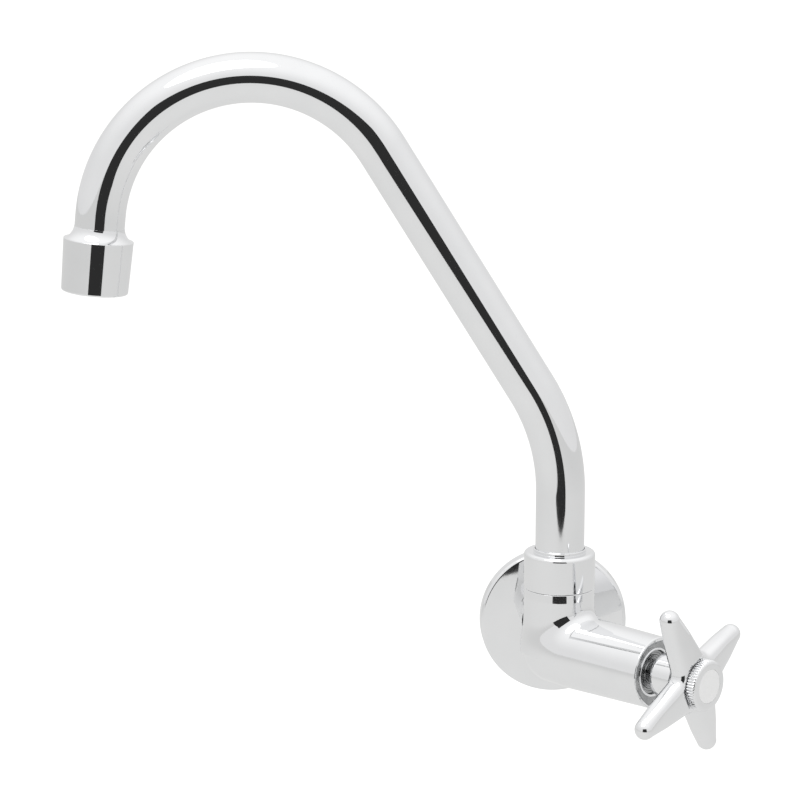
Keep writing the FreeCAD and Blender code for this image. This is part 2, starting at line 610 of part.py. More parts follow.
def make_spout_spigot():
    """Turned end brazed in the tube, with a shoulder and two seal grooves."""
    groove = "(socket_radius - seal_clearance - 2 * o_ring_section)"
    low = SPIGOT_END
    corners = [("spigot_bore_radius", low), (SPIGOT_RADIUS, low)]
    for number in range(SEAL_COUNT):
        middle = "%s + o_ring_first + %d * o_ring_pitch" % (low, number)
        corners += [
            (SPIGOT_RADIUS, middle + " - o_ring_groove_width / 2"),
            (groove, middle + " - o_ring_groove_width / 2"),
            (groove, middle + " + o_ring_groove_width / 2"),
            (SPIGOT_RADIUS, middle + " + o_ring_groove_width / 2"),
        ]
    plug = "tube_radius - tube_wall"
    corners += [
        (SPIGOT_RADIUS, SHOULDER_FOOT),
        ("shoulder_radius", SHOULDER_FOOT),
        ("shoulder_radius", TUBE_FOOT),
        (plug, TUBE_FOOT),
        (plug, TUBE_FOOT + " + spigot_plug_length"),
        ("spigot_bore_radius", TUBE_FOOT + " + spigot_plug_length"),
    ]
    turned("spout_spigot", corners, AT_SPOUT)
    middles = ["%s + o_ring_first + %d * o_ring_pitch" % (low, number) for number in range(SEAL_COUNT)]
    seal_rings("spigot_o_rings", "socket_radius - seal_clearance - o_ring_section",
               "o_ring_section", middles, AT_SPOUT)


def make_outlet_ferrule():
    """Turned outlet end: tube socket, flare, crisp step and the regulator's thread."""
    body = new_body("outlet_ferrule")
    flare_top = "outlet_length + outlet_flare_length"
    thread = "regulator_radius + regulator_gap"
    shelf = REGULATOR_TOP + " + gasket_thickness"
    passage = "tube_radius - tube_wall"
    turn_feature(body, "ferrule_turning", [
        (thread, "0"),
        ("outlet_radius", "0"),
        ("outlet_top_radius", "outlet_length"),
        ("outlet_step_radius", "outlet_length", "-outlet_flare_radius"),
        ("tube_radius + outlet_flare_land", flare_top),
        ("tube_radius", flare_top),
        ("tube_radius", "outlet_tube_seat"),
        (passage, "outlet_tube_seat"),
        (passage, shelf),
        (thread, shelf),
    ])
    round_rings(body, "ferrule_edge", [("outlet_radius", "0")],
                "outlet_radius - regulator_radius - regulator_gap - outlet_land")
    keep(body, "outlet_ferrule", AT_OUTLET)


def make_jet_regulator():
    """Screwed housing with its insert, its filter screen and the flat seal above."""
    bore = "regulator_radius - regulator_wall"
    lip_top = "regulator_recess + regulator_lip_height"
    turned("aerator_housing", [
        (bore + " - regulator_lip", "regulator_recess"),
        ("regulator_radius", "regulator_recess"),
        ("regulator_radius", REGULATOR_TOP),
        (bore, REGULATOR_TOP),
        (bore, lip_top),
        (bore + " - regulator_lip", lip_top),
    ], AT_OUTLET)
    make_aerator_insert(bore, lip_top)
    screen_foot = "%s + insert_height" % lip_top
    make_aerator_screen(bore, screen_foot)
    turned("aerator_gasket", ring_outline("regulator_radius - gasket_width", "regulator_radius",
                                          REGULATOR_TOP, REGULATOR_TOP + " + gasket_thickness"), AT_OUTLET)


def make_aerator_insert(outer, foot):
    """Plastic insert with two rings of holes that break up the jet."""
    body = new_body("aerator_insert")
    turn_feature(body, "insert_disc", box_outline("0", foot, outer, foot + " + insert_height"))
    for ring, count in (("inner", "insert_inner_count"), ("outer", "insert_outer_count")):
        circle = ("insert_%s_reach" % ring, "0", "insert_hole_radius")
        hole = cut_through(body, "insert_%s_hole" % ring, "circle", [circle])
        pattern = body.newObject("PartDesign::PolarPattern", "insert_%s_ring" % ring)
        pattern.Originals = [hole]
        pattern.Axis = (origin_feature(body, "Z_Axis"), [""])
        pattern.Angle = 360
        bind(pattern, {"Occurrences": count})
        body.Tip = pattern
    keep(body, "aerator_insert", AT_OUTLET)


def make_aerator_screen(outer, foot):
    """Filter screen: a thin disc with a square grid of openings."""
    body = new_body("aerator_screen")
    turn_feature(body, "screen_disc", box_outline("0", foot, outer, foot + " + screen_thickness"))
    first = "(-screen_pitch * (screen_count - 1) / 2 - screen_opening / 2)"
    opening = cut_through(body, "screen_opening", "outline",
                          box_outline(first, first, first + " + screen_opening", first + " + screen_opening"))
    grid = body.newObject("PartDesign::MultiTransform", "screen_grid")
    grid.Originals = [opening]
    rows = []
    for role in ("X_Axis", "Y_Axis"):
        row = body.newObject("PartDesign::LinearPattern", "screen_row_" + role[0].lower())
        row.Direction = (origin_feature(body, role), [""])
        row.Mode = "Spacing"
        bind(row, {"Offset": "screen_pitch", "Occurrences": "screen_count"})
        rows.append(row)
    grid.Transformations = rows
    body.Tip = grid
    keep(body, "aerator_screen", AT_OUTLET)


def cut_through(body, name, shape, figures):
    """Cut circles or an outline through the whole body along local Z."""
    before = volume(body)
    sketch = new_sketch(body, name + "_sketch", "XY_Plane")
    if shape == "circle":
        draw_circles(sketch, figures)
    else:
        draw_outline(sketch, figures)
    cut = body.newObject("PartDesign::Pocket", name)
    cut.Profile = sketch
    cut.Type = "ThroughAll"
    cut.Midplane = True
    if volume(body) >= before:
        raise RuntimeError(name + " cut nothing")
    return cut


def make_headwork_body():
    """Cartridge that screws into the barrel, with the piston's bore and the spindle's bearing."""
    body = new_body("headwork_body")
    nose = "chamber_radius - headwork_nose_gap"
    turn_feature(body, "headwork_shank", [
        ("0", "headwork_nose_out"),
        (nose, "headwork_nose_out"),
        (nose, "chamber_end + headwork_step_gap"),
        ("headwork_thread_radius", "chamber_end + headwork_step_gap"),
        ("headwork_thread_radius", HEX_FOOT),
        ("0", HEX_FOOT),
    ])
    corner = "(headwork_hex / 2 / cos(30))"
    hexagon = [(corner + " * cos(%d)" % turn, corner + " * sin(%d)" % turn)
               for turn in range(30, 390, 60)]
    sketch = draw_outline(new_sketch(body, "hexagon_sketch", "XY_Plane",
                                     "placement(vector(0; 0; %s); rotation(0; 0; 0))" % HEX_FOOT), hexagon)
    pad = body.newObject("PartDesign::Pad", "hexagon")
    pad.Profile = sketch
    bind(pad, {"Length": "headwork_face_out - " + HEX_FOOT})
    dish_foot = "headwork_face_out - headwork_dish_depth"
    turn_feature(body, "dished_front", [
        ("0", dish_foot),
        ("headwork_dish_radius", dish_foot),
        (corner, "headwork_face_out"),
        ("0", "headwork_face_out"),
    ], "Groove")
    collar_room = "spindle_collar_radius + spindle_collar_gap"
    collar_top = "spindle_collar_out + spindle_collar_height + spindle_collar_gap"
    turn_feature(body, "spindle_bearing", [
        ("0", "piston_bore_end"),
        (collar_room, "piston_bore_end"),
        (collar_room, collar_top),
        ("spindle_radius + spindle_gap", collar_top),
        ("spindle_radius + spindle_gap", "gland_room_floor_out"),
        ("gland_room_radius", "gland_room_floor_out"),
        ("gland_room_radius", dish_foot),
        ("0", dish_foot),
    ], "Groove")
    cut_piston_bore(body)
    keep(body, "headwork_body", AT_BARREL)


def flat_sided(radius, flats):
    """Outline of a round bar with two flats, upper and lower."""
    half = "((%s) / 2)" % flats
    reach = "sqrt((%s) ^ 2 - %s ^ 2)" % (radius, half)
    return [
        (reach, "-" + half, radius),
        (reach, half),
        ("-" + reach, half, radius),
        ("-" + reach, "-" + half),
    ]


def cut_piston_bore(body):
    """Bore with two flats that keep the piston from turning."""
    before = volume(body)
    sketch = draw_outline(new_sketch(body, "piston_bore_sketch", "XY_Plane",
                                     "placement(vector(0; 0; piston_bore_end); rotation(0; 0; 0))"),
                          flat_sided("piston_radius + piston_gap", "piston_flats + 2 * piston_gap"))
    bore = body.newObject("PartDesign::Pocket", "piston_bore")
    bore.Profile = sketch
    bind(bore, {"Length": "piston_bore_end - headwork_nose_out"})
    if volume(body) >= before:
        raise RuntimeError("piston_bore cut nothing")


def make_headwork_seals():
    """Fibre ring under the hexagon, gland nut with its packing."""
    turned("headwork_gasket",
           ring_outline("headwork_thread_radius + thread_gap", "mouth_radius - thread_gap",
                        "mouth_floor_out", HEX_FOOT), AT_BARREL)
    bearing = "spindle_radius + spindle_gap"
    nut_foot = "(gland_nut_end_out - gland_nut_height)"
    turned("gland_nut", ring_outline(bearing, "gland_room_radius - thread_gap", nut_foot,
                                     "gland_nut_end_out"), AT_BARREL)
    turned("gland_packing", ring_outline(bearing, "gland_room_radius - thread_gap",
                                         "%s - packing_height" % nut_foot, nut_foot), AT_BARREL)


def make_spindle():
    """Spindle that doesn't rise: thread, collar, bearing with seal grooves, clip groove and square."""
    body = new_body("spindle")
    bearing_bore = "(spindle_radius + spindle_gap)"
    groove = bearing_bore + " - seal_clearance - 2 * spindle_seal_section"
    corners = [
        ("0", "spindle_tip_out"),
        ("spindle_thread_radius", "spindle_tip_out"),
        ("spindle_thread_radius", "spindle_collar_out"),
        ("spindle_collar_radius", "spindle_collar_out"),
        ("spindle_collar_radius", "spindle_collar_out + spindle_collar_height"),
        ("spindle_radius", "spindle_collar_out + spindle_collar_height"),
    ]
    middles = ["spindle_seal_first + %d * spindle_seal_pitch" % number for number in range(SEAL_COUNT)]
    for middle in middles:
        corners += [
            ("spindle_radius", middle + " - spindle_seal_width / 2"),
            (groove, middle + " - spindle_seal_width / 2"),
            (groove, middle + " + spindle_seal_width / 2"),
            ("spindle_radius", middle + " + spindle_seal_width / 2"),
        ]
    clip_foot = "gland_room_floor_out"
    clip_top = "gland_room_floor_out + clip_thickness"
    corners += [
        ("spindle_radius", clip_foot),
        ("spindle_radius - clip_groove_depth", clip_foot),
        ("spindle_radius - clip_groove_depth", clip_top),
        ("spindle_radius", clip_top),
        ("spindle_radius", SQUARE_START),
        ("0", SQUARE_START),
    ]
    turn_feature(body, "spindle_turning", corners)
    half = "square_side / 2"
    square = draw_outline(new_sketch(body, "square_sketch", "XY_Plane",
                                     "placement(vector(0; 0; " + SQUARE_START + "); rotation(0; 0; 0))"),
                          box_outline("-" + half, "-" + half, half, half))
    drive = body.newObject("PartDesign::Pad", "square_drive")
    drive.Profile = square
    bind(drive, {"Length": SPINDLE_END + " - " + SQUARE_START})
    turn_feature(body, "screw_hole", box_outline(
        "0", SCREW_SEAT + " - screw_length - screw_end_gap", "screw_radius", SPINDLE_END), "Groove")
    keep(body, "spindle", AT_BARREL)
    seal_rings("spindle_o_rings", bearing_bore + " - seal_clearance - spindle_seal_section",
               "spindle_seal_section", middles, AT_BARREL)
    make_spindle_clip(clip_foot, clip_top)


def make_spindle_clip(foot, top):
    """Open clip in the spindle's groove, against the headwork."""
    body = new_body("spindle_clip")
    turn_feature(body, "clip_ring", ring_outline("spindle_radius - clip_groove_depth", "clip_radius", foot, top))
    before = volume(body)
    half = "clip_mouth / 2"
    sketch = draw_outline(new_sketch(body, "clip_mouth_sketch", "XY_Plane",
                                     "placement(vector(0; 0; %s); rotation(0; 0; 0))" % top),
                          box_outline("-" + half, "-2 * clip_radius", half, "0"))
    mouth = body.newObject("PartDesign::Pocket", "clip_mouth")
    mouth.Profile = sketch
    bind(mouth, {"Length": "clip_thickness"})
    if volume(body) >= before:
        raise RuntimeError("clip_mouth cut nothing")
    keep(body, "spindle_clip", AT_BARREL)


def make_piston():
    """Sliding piston with the rubber washer and its screw."""
    body = new_body("valve_piston")
    sketch = draw_outline(new_sketch(body, "piston_sketch", "XY_Plane",
                                     "placement(vector(0; 0; %s); rotation(0; 0; 0))" % PISTON_FOOT),
                          flat_sided("piston_radius", "piston_flats"))
    bar = body.newObject("PartDesign::Pad", "piston_bar")
    bar.Profile = sketch
    bind(bar, {"Length": "piston_length"})
    turn_feature(body, "piston_thread", box_outline(
        "0", "spindle_tip_out - piston_travel - piston_end_gap", "spindle_thread_radius + spindle_gap",
        PISTON_FOOT + " + piston_length"), "Groove")
    turn_feature(body, "washer_screw_hole", box_outline(
        "0", PISTON_FOOT, "washer_screw_radius", PISTON_FOOT + " + washer_screw_grip"), "Groove")
    keep(body, "valve_piston", AT_BARREL)
    turned("seat_washer", ring_outline("washer_screw_radius", "washer_radius", "seat_out", PISTON_FOOT),
           AT_BARREL)
    turned("washer_screw", [
        ("0", "seat_out - washer_screw_head_height"),
        ("washer_screw_head_radius", "seat_out - washer_screw_head_height"),
        ("washer_screw_head_radius", "seat_out"),
        ("washer_screw_radius", "seat_out"),
        ("washer_screw_radius", PISTON_FOOT + " + washer_screw_grip"),
        ("0", PISTON_FOOT + " + washer_screw_grip"),
    ], AT_BARREL)


def make_cross_handle():
    """Cross handle: hub with a boss, and tapering arms with round tips and a flat front at the hub."""
    body = new_body("cross_handle")
    turn_feature(body, "hub", [
        ("0", HANDLE_BACK),
        ("hub_back_radius", HANDLE_BACK),
        ("hub_back_radius", HANDLE_BACK + " + hub_waist_length"),
        ("hub_front_radius", ARM_OUT),
        ("hub_front_radius", HUB_FRONT),
        ("0", HUB_FRONT),
    ])
    round_rings(body, "hub_back_edge", [("hub_back_radius", HANDLE_BACK)], "hub_back_rounding")
    tip_centre = "(arm_reach - arm_tip_radius)"
    arm = turn_feature(body, "arm", [
        ("0", "0"),
        ("arm_root_radius", "0"),
        ("arm_root_radius", "arm_root_reach"),
        ("arm_tip_radius", tip_centre, "arm_tip_radius"),
        ("0", "arm_reach"),
    ], plane="XY_Plane", offset="placement(vector(0; 0; " + ARM_OUT + "); rotation(arm_angle; 0; 0))")
    pattern = body.newObject("PartDesign::PolarPattern", "arms")
    pattern.Originals = [arm]
    pattern.Axis = (origin_feature(body, "Z_Axis"), [""])
    pattern.Angle = 360
    bind(pattern, {"Occurrences": "arm_count"})
    body.Tip = pattern
    before = volume(body)
    recess_floor = SCREW_SEAT
    facet_top = HUB_FRONT + " + arm_root_radius"
    turn_feature(body, "cap_recess_and_facets", [
        ("0", recess_floor),
        ("handle_recess_radius", recess_floor),
        ("handle_recess_radius", HUB_FRONT),
        ("arm_reach", HUB_FRONT),
        ("arm_reach", facet_top),
        ("0", facet_top),
    ], "Groove")
    turn_feature(body, "handle_screw_hole", box_outline(
        "0", SCREW_SEAT + " - handle_web", "screw_radius", recess_floor), "Groove")
    half = "(square_side / 2 + square_gap)"
    square = draw_outline(new_sketch(body, "square_socket_sketch", "XY_Plane",
                                     "placement(vector(0; 0; " + SCREW_SEAT + " - handle_web); rotation(0; 0; 0))"),
                          box_outline("-" + half, "-" + half, half, half))
    socket = body.newObject("PartDesign::Pocket", "square_socket")
    socket.Profile = square
    bind(socket, {"Length": SCREW_SEAT + " - handle_web - " + HANDLE_BACK})
    if volume(body) >= before:
        raise RuntimeError("square_socket cut nothing")
    turn_feature(body, "spindle_room", box_outline(
        "0", HANDLE_BACK, "spindle_radius + spindle_gap", SQUARE_START), "Groove")
    keep(body, "cross_handle", AT_BARREL)


def make_handle_screw():
    """Slotted screw that clamps the handle to the spindle."""
    body = new_body("handle_screw")
    head_top = SCREW_SEAT + " + screw_head_height"
    turn_feature(body, "screw_turning", [
        ("0", SCREW_SEAT + " - screw_length"),
        ("screw_radius", SCREW_SEAT + " - screw_length"),
        ("screw_radius", SCREW_SEAT),
        ("screw_head_radius", SCREW_SEAT),
        ("screw_head_radius", head_top),
        ("0", head_top),
    ])
    before = volume(body)
    half = "screw_slot_width / 2"
    sketch = draw_outline(new_sketch(body, "slot_sketch", "XY_Plane",
                                     "placement(vector(0; 0; %s); rotation(0; 0; 0))" % head_top),
                          box_outline("-2 * screw_head_radius", "-" + half, "2 * screw_head_radius", half))
    slot = body.newObject("PartDesign::Pocket", "slot")
    slot.Profile = sketch
    bind(slot, {"Length": "screw_slot_depth"})
    if volume(body) >= before:
        raise RuntimeError("slot cut nothing")
    keep(body, "handle_screw", AT_BARREL)


def make_handle_cap():
    """Cap with a skirt in the hub, a serrated side, a rounded front and a recess for the badge."""
    body = new_body("handle_cap")
    front = CAP_FOOT + " + cap_height"
    skirt = "(handle_recess_radius - cap_skirt_gap)"
    badge_floor = front + " - badge_set_back - badge_thickness"
    skirt_floor = badge_floor + " - badge_thickness"
    turn_feature(body, "cap_turning", [
        ("0", skirt_floor),
        (skirt + " - cap_skirt_wall", skirt_floor),
        (skirt + " - cap_skirt_wall", CAP_FOOT + " - cap_skirt_length"),
        (skirt, CAP_FOOT + " - cap_skirt_length"),
        (skirt, CAP_FOOT),
        ("cap_radius", CAP_FOOT),
        ("cap_radius", CAP_FOOT + " + cap_side_height", "cap_front_rounding"),
        ("cap_front_radius", front),
        ("badge_radius + badge_gap", front),
        ("badge_radius + badge_gap", badge_floor),
        ("0", badge_floor),
    ])
    cut_serrations(body)
    keep(body, "handle_cap", AT_BARREL)
    turned("cap_badge", box_outline("0", badge_floor, "badge_radius", badge_floor + " + badge_thickness"),
           AT_BARREL)


def cut_serrations(body):
    """V grooves round the cap's side."""
    before = volume(body)
    half = "(cap_radius * sin(180 / cap_tooth_count) * cap_tooth_share)"
    sketch = draw_outline(new_sketch(body, "serration_sketch", "XY_Plane",
                                     "placement(vector(0; 0; %s); rotation(0; 0; 0))" % CAP_FOOT), [
        ("-" + half, "cap_radius + cap_tooth_depth"),
        ("0", "cap_radius - cap_tooth_depth"),
        (half, "cap_radius + cap_tooth_depth"),
    ])
    groove = body.newObject("PartDesign::Pocket", "serration")
    groove.Profile = sketch
    groove.Reversed = True
    bind(groove, {"Length": "cap_height"})
    doc.recompute()
    pattern = body.newObject("PartDesign::PolarPattern", "serrations")
    pattern.Originals = [groove]
    pattern.Axis = (origin_feature(body, "Z_Axis"), [""])
    pattern.Angle = 360
    bind(pattern, {"Occurrences": "cap_tooth_count"})
    body.Tip = pattern
    if volume(body) >= before:
        raise RuntimeError("serrations cut nothing")


def make_grip_ring():
    """Rubber ring that holds the flange on the inlet neck."""
    seal_rings("flange_grip_ring", "inlet_neck_radius + grip_ring_section", "grip_ring_section",
               [FLANGE_TOP + " - flange_wall - grip_ring_section - grip_ring_gap"], AT_WALL)


def check_and_write():
    """Stop on a failed feature or a bad solid, then write one file for each sub-part."""
    doc.recompute()
    for item in doc.Objects:
        if "Invalid" in item.State or "Error" in item.State:
            raise RuntimeError("%s failed: %s" % (item.Name, item.State))
    for part in sub_parts:
        if part.Shape.isNull() or not part.Shape.isValid() or not part.Shape.Solids:
            raise RuntimeError(part.Label + " is not a valid solid")
    os.makedirs("parts", exist_ok=True)
    for part in sub_parts:
        part.Shape.exportStep("parts/%s.step" % part.Label)
        print("%-18s %9.1f mm3  %d solid(s)" % (part.Label, part.Shape.Volume, len(part.Shape.Solids)))


make_valve_body()
make_wall_flange()
make_grip_ring()
make_collar_nut()
make_slide_rings()
make_spout_tube()
make_spout_spigot()
make_outlet_ferrule()
make_jet_regulator()
make_headwork_body()
make_headwork_seals()
make_spindle()
make_piston()
make_cross_handle()
make_handle_screw()
make_handle_cap()
check_and_write()
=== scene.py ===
# Wall tap with a cross handle and a swan-neck spout, dressed in chrome over its fixed frame
import bpy
import bmesh
import json
import math
import numpy as np
from mathutils import Matrix, Vector


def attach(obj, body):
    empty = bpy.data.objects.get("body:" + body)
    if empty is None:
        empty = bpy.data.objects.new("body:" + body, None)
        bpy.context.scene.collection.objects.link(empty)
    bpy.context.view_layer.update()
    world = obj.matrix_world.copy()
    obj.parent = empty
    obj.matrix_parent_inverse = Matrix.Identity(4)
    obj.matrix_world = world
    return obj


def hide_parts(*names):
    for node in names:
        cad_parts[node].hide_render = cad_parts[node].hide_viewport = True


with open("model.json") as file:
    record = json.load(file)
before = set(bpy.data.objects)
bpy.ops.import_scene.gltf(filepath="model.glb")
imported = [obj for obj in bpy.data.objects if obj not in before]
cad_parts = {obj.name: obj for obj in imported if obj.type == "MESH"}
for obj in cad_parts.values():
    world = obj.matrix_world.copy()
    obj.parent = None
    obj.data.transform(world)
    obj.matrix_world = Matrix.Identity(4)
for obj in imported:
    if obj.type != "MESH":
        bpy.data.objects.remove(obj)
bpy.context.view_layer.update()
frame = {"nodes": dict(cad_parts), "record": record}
mm = 0.001
joints = {joint["name"]: joint for joint in frame["record"]["behaviour"]["joints"]}
spoutFoot = Vector(joints["spout_swivel"]["pos_m"])        # where the spout's axis crosses the inlet's
barrelWay = Vector(joints["handle_turn"]["axis"]).normalized()
upWay = Vector((0, 0, 1))
wallWay = Vector((0, 1, 0))


# Colour and node helpers

def linearColour(hexText):
    channels = [int(hexText[i:i + 2], 16) / 255 for i in (1, 3, 5)]
    return [c / 12.92 if c <= 0.04045 else ((c + 0.055) / 1.055) ** 2.4 for c in channels] + [1.0]


def addNode(tree, kind, settings=None, links=None):
    # settings: attributes or input values by name; links: input name or number to output socket
    node = tree.nodes.new(kind)
    for name, value in (settings or {}).items():
        if hasattr(node, name):
            setattr(node, name, value)
        else:
            node.inputs[name].default_value = value
    for name, socket in (links or {}).items():
        tree.links.new(socket, node.inputs[name])
    return node


def clearedTree(owner):
    # The emptied node tree of a material or world
    owner.use_nodes = True
    owner.node_tree.nodes.clear()
    return owner.node_tree


# Materials: patches drift the colour and the shine, and a finer grain of its own size lifts the skin.
# A grain under about 0.4 mm is finer than the camera sees from here and only softens the shine.

# Chrome plate over polished brass: mirror reflections, faint wiping smears, the softest waves of the buff
chromeLook = {"colour": "#F3F3F4", "patchColour": "#EAEBEC", "patchMm": 14, "patchDetail": 4.0, "grainMm": 3.5,
              "grainDepthMm": 0.0006, "roughLow": 0.02, "roughHigh": 0.055, "shader": {"Metallic": 1.0}}
# Nickel plate over turned brass: satin, with fine tool marks, a darker grey than the chrome; part of that darkness is
# painted shade and painted dark reflection of the barrel's mouth, where these parts sit
shadedNickelLook = {"colour": "#B4B5B5", "patchColour": "#97989A", "patchMm": 4, "patchDetail": 3.0, "grainMm": 0.25,
              "grainDepthMm": 0.004, "roughLow": 0.16, "roughHigh": 0.3, "shader": {"Metallic": 1.0}}
# Bare brass as it comes off the lathe: yellow, satin, slightly tarnished in patches
brassLook = {"colour": "#C9A766", "patchColour": "#A5823F", "patchMm": 5, "patchDetail": 3.0, "grainMm": 0.3,
             "grainDepthMm": 0.012, "roughLow": 0.22, "roughHigh": 0.4, "shader": {"Metallic": 1.0}}
# Brushed stainless steel of screws, clip and filter screen: grey, shine broken up by its own fine marks
steelLook = {"colour": "#C4C5C6", "patchColour": "#A9ABAD", "patchMm": 0.2, "patchDetail": 2.0, "grainMm": 0.2,
             "grainDepthMm": 0.006, "roughLow": 0.22, "roughHigh": 0.36, "shader": {"Metallic": 1.0}}
# Moulded nitrile rubber: matt black
rubberLook = {"colour": "#1B1B1C", "patchColour": "#101011", "patchMm": 3, "patchDetail": 3.0, "grainMm": 0.3,
              "grainDepthMm": 0.01, "roughLow": 0.56, "roughHigh": 0.68, "shader": {"Metallic": 0.0, "IOR": 1.52}}
# Turned nylon: waxy off-white
nylonLook = {"colour": "#E9E7DE", "patchColour": "#DDDACF", "patchMm": 4, "patchDetail": 3.0, "grainMm": 0.4,
             "grainDepthMm": 0.006, "roughLow": 0.36, "roughHigh": 0.48, "shader": {"Metallic": 0.0, "IOR": 1.53}}
# Pressed fibre: brick red and dry
fibreLook = {"colour": "#8C3B2A", "patchColour": "#6F2C20", "patchMm": 1.5, "patchDetail": 3.0, "grainMm": 0.25,
             "grainDepthMm": 0.03, "roughLow": 0.69, "roughHigh": 0.81, "shader": {"Metallic": 0.0, "IOR": 1.5}}
# Moulded acetal: cool white, slightly glossy
acetalLook = {"colour": "#DDE0E2", "patchColour": "#D2D6D9", "patchMm": 3, "patchDetail": 3.0, "grainMm": 0.4,
              "grainDepthMm": 0.005, "roughLow": 0.29, "roughHigh": 0.41, "shader": {"Metallic": 0.0, "IOR": 1.48}}
# White satin lacquer on a pressed disc: paler than the chrome round it, even, softly shiny
badgeLook = {"colour": "#FAFAFA", "patchColour": "#F5F5F5", "patchMm": 2.5, "patchDetail": 3.0, "grainMm": 0.2,
             "grainDepthMm": 0.004, "roughLow": 0.3, "roughHigh": 0.42,
             "shader": {"Metallic": 0.0, "Coat Weight": 0.3, "Coat Roughness": 0.12}}
grainDetail = 2.0
noiseSpan = {"From Min": 0.3, "From Max": 0.7}         # most of a noise lies between these


def surfaceMaterial(name, look):
    material = bpy.data.materials.new(name)
    tree = clearedTree(material)
    place = addNode(tree, "ShaderNodeTexCoord").outputs["Object"]
    patch = addNode(tree, "ShaderNodeTexNoise", {
        "Scale": 1 / (look["patchMm"] * mm), "Detail": look["patchDetail"]}, {"Vector": place}).outputs["Fac"]
    grain = addNode(tree, "ShaderNodeTexNoise", {
        "Scale": 1 / (look["grainMm"] * mm), "Detail": grainDetail}, {"Vector": place}).outputs["Fac"]
    colour = addNode(tree, "ShaderNodeMix", {
        "data_type": "RGBA", "A": linearColour(look["colour"]), "B": linearColour(look["patchColour"])},
        {"Factor": patch})
    rough = addNode(tree, "ShaderNodeMapRange", {
        **noiseSpan, "To Min": look["roughLow"], "To Max": look["roughHigh"]}, {"Value": patch})
    bump = addNode(tree, "ShaderNodeBump", {"Distance": look["grainDepthMm"] * mm, "Strength": 1.0},
                   {"Height": grain})
    shader = addNode(tree, "ShaderNodeBsdfPrincipled", look["shader"], {
        "Base Color": colour.outputs["Result"], "Roughness": rough.outputs["Result"],
        "Normal": bump.outputs["Normal"]})
    addNode(tree, "ShaderNodeOutputMaterial", {}, {"Surface": shader.outputs["BSDF"]})
    return material


materials = {
    "chrome": surfaceMaterial("polishedChrome", chromeLook),
    # the nickel's grey is partly painted shade of the barrel's mouth
    "nickel": surfaceMaterial("turnedNickelWithPaintedShade", shadedNickelLook),
    "brass": surfaceMaterial("turnedBrass", brassLook),
    "rubber": surfaceMaterial("mouldedRubber", rubberLook),
    "nylon": surfaceMaterial("turnedNylon", nylonLook),
    "fibre": surfaceMaterial("pressedFibre", fibreLook),
    "acetal": surfaceMaterial("mouldedAcetal", acetalLook),
    "steel": surfaceMaterial("brushedSteel", steelLook),
    "badge": surfaceMaterial("satinBadge", badgeLook),
}
nodeFinish = {
    "chrome": ["valve_body", "wall_flange", "collar_nut", "spout_tube", "outlet_ferrule", "cross_handle",
               "handle_cap"],
    "nickel": ["headwork_body", "aerator_housing", "gland_nut", "spindle"],
    "brass": ["spout_spigot", "valve_piston"],
    "rubber": ["flange_grip_ring", "spigot_o_rings", "aerator_gasket", "spindle_o_rings", "seat_washer"],
    "nylon": ["spout_slide_rings", "gland_packing"],
    "fibre": ["headwork_gasket"],
    "acetal": ["aerator_insert"],
    "steel": ["aerator_screen", "handle_screw", "spindle_clip", "washer_screw"],
    "badge": ["cap_badge"],
}
for finish, names in nodeFinish.items():
    for name in names:
        for slot in frame["nodes"][name].material_slots:
            slot.material = materials[finish]
print("materials made")


# Places of the turned pieces: local Z is the axis they are turned about

def placeOf(right, up, out, origin):
    turn = Matrix((right, up, out)).transposed()
    return Matrix.Translation(origin) @ turn.to_4x4()


atSpout = Matrix.Translation(spoutFoot)
atWall = placeOf(Vector((1, 0, 0)), upWay, Vector((0, -1, 0)), Vector((0, 0, 0)))
atBarrel = placeOf(upWay.cross(barrelWay), upWay, barrelWay, spoutFoot)


# Mesh helpers: outlines and their roundings are in mm

arcStep = math.radians(9)              # a rounded corner has a point at least this often
smoothTurn = math.radians(14)          # a corner that turns less is shaded smooth
samePoint = 1e-6                       # points nearer to each other than this are one


def newPiece(name, vertices, faces, normals, body, material, hides):
    mesh = bpy.data.meshes.new(name)
    mesh.from_pydata([tuple(v) for v in vertices], [], faces)
    mesh.polygons.foreach_set("use_smooth", [True] * len(mesh.polygons))
    if normals is not None:
        mesh.normals_split_custom_set_from_vertices([tuple(n) for n in normals])
    mesh.materials.append(materials[material])
    piece = bpy.data.objects.new(name, mesh)
    bpy.context.scene.collection.objects.link(piece)
    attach(piece, body)
    if hides:
        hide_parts(*hides)
    print("made", name, len(mesh.polygons))
    return piece


def arcSpan(start, end, radius, steps):
    # Points between start and end on an arc; a positive radius has its centre left of the way
    start, end = Vector(start), Vector(end)
    half = (end - start).length / 2
    left = Vector((start.y - end.y, end.x - start.x)).normalized()
    centre = (start + end) / 2 + left * math.copysign(math.sqrt(max(radius ** 2 - half ** 2, 0)), radius)
    first = math.atan2(start.y - centre.y, start.x - centre.x)
    last = math.atan2(end.y - centre.y, end.x - centre.x)
    sweep = (last - first) % (2 * math.pi)
    if radius < 0:
        sweep -= 2 * math.pi
    return [(centre.x + abs(radius) * math.cos(first + sweep * k / steps),
             centre.y + abs(radius) * math.sin(first + sweep * k / steps)) for k in range(1, steps)]


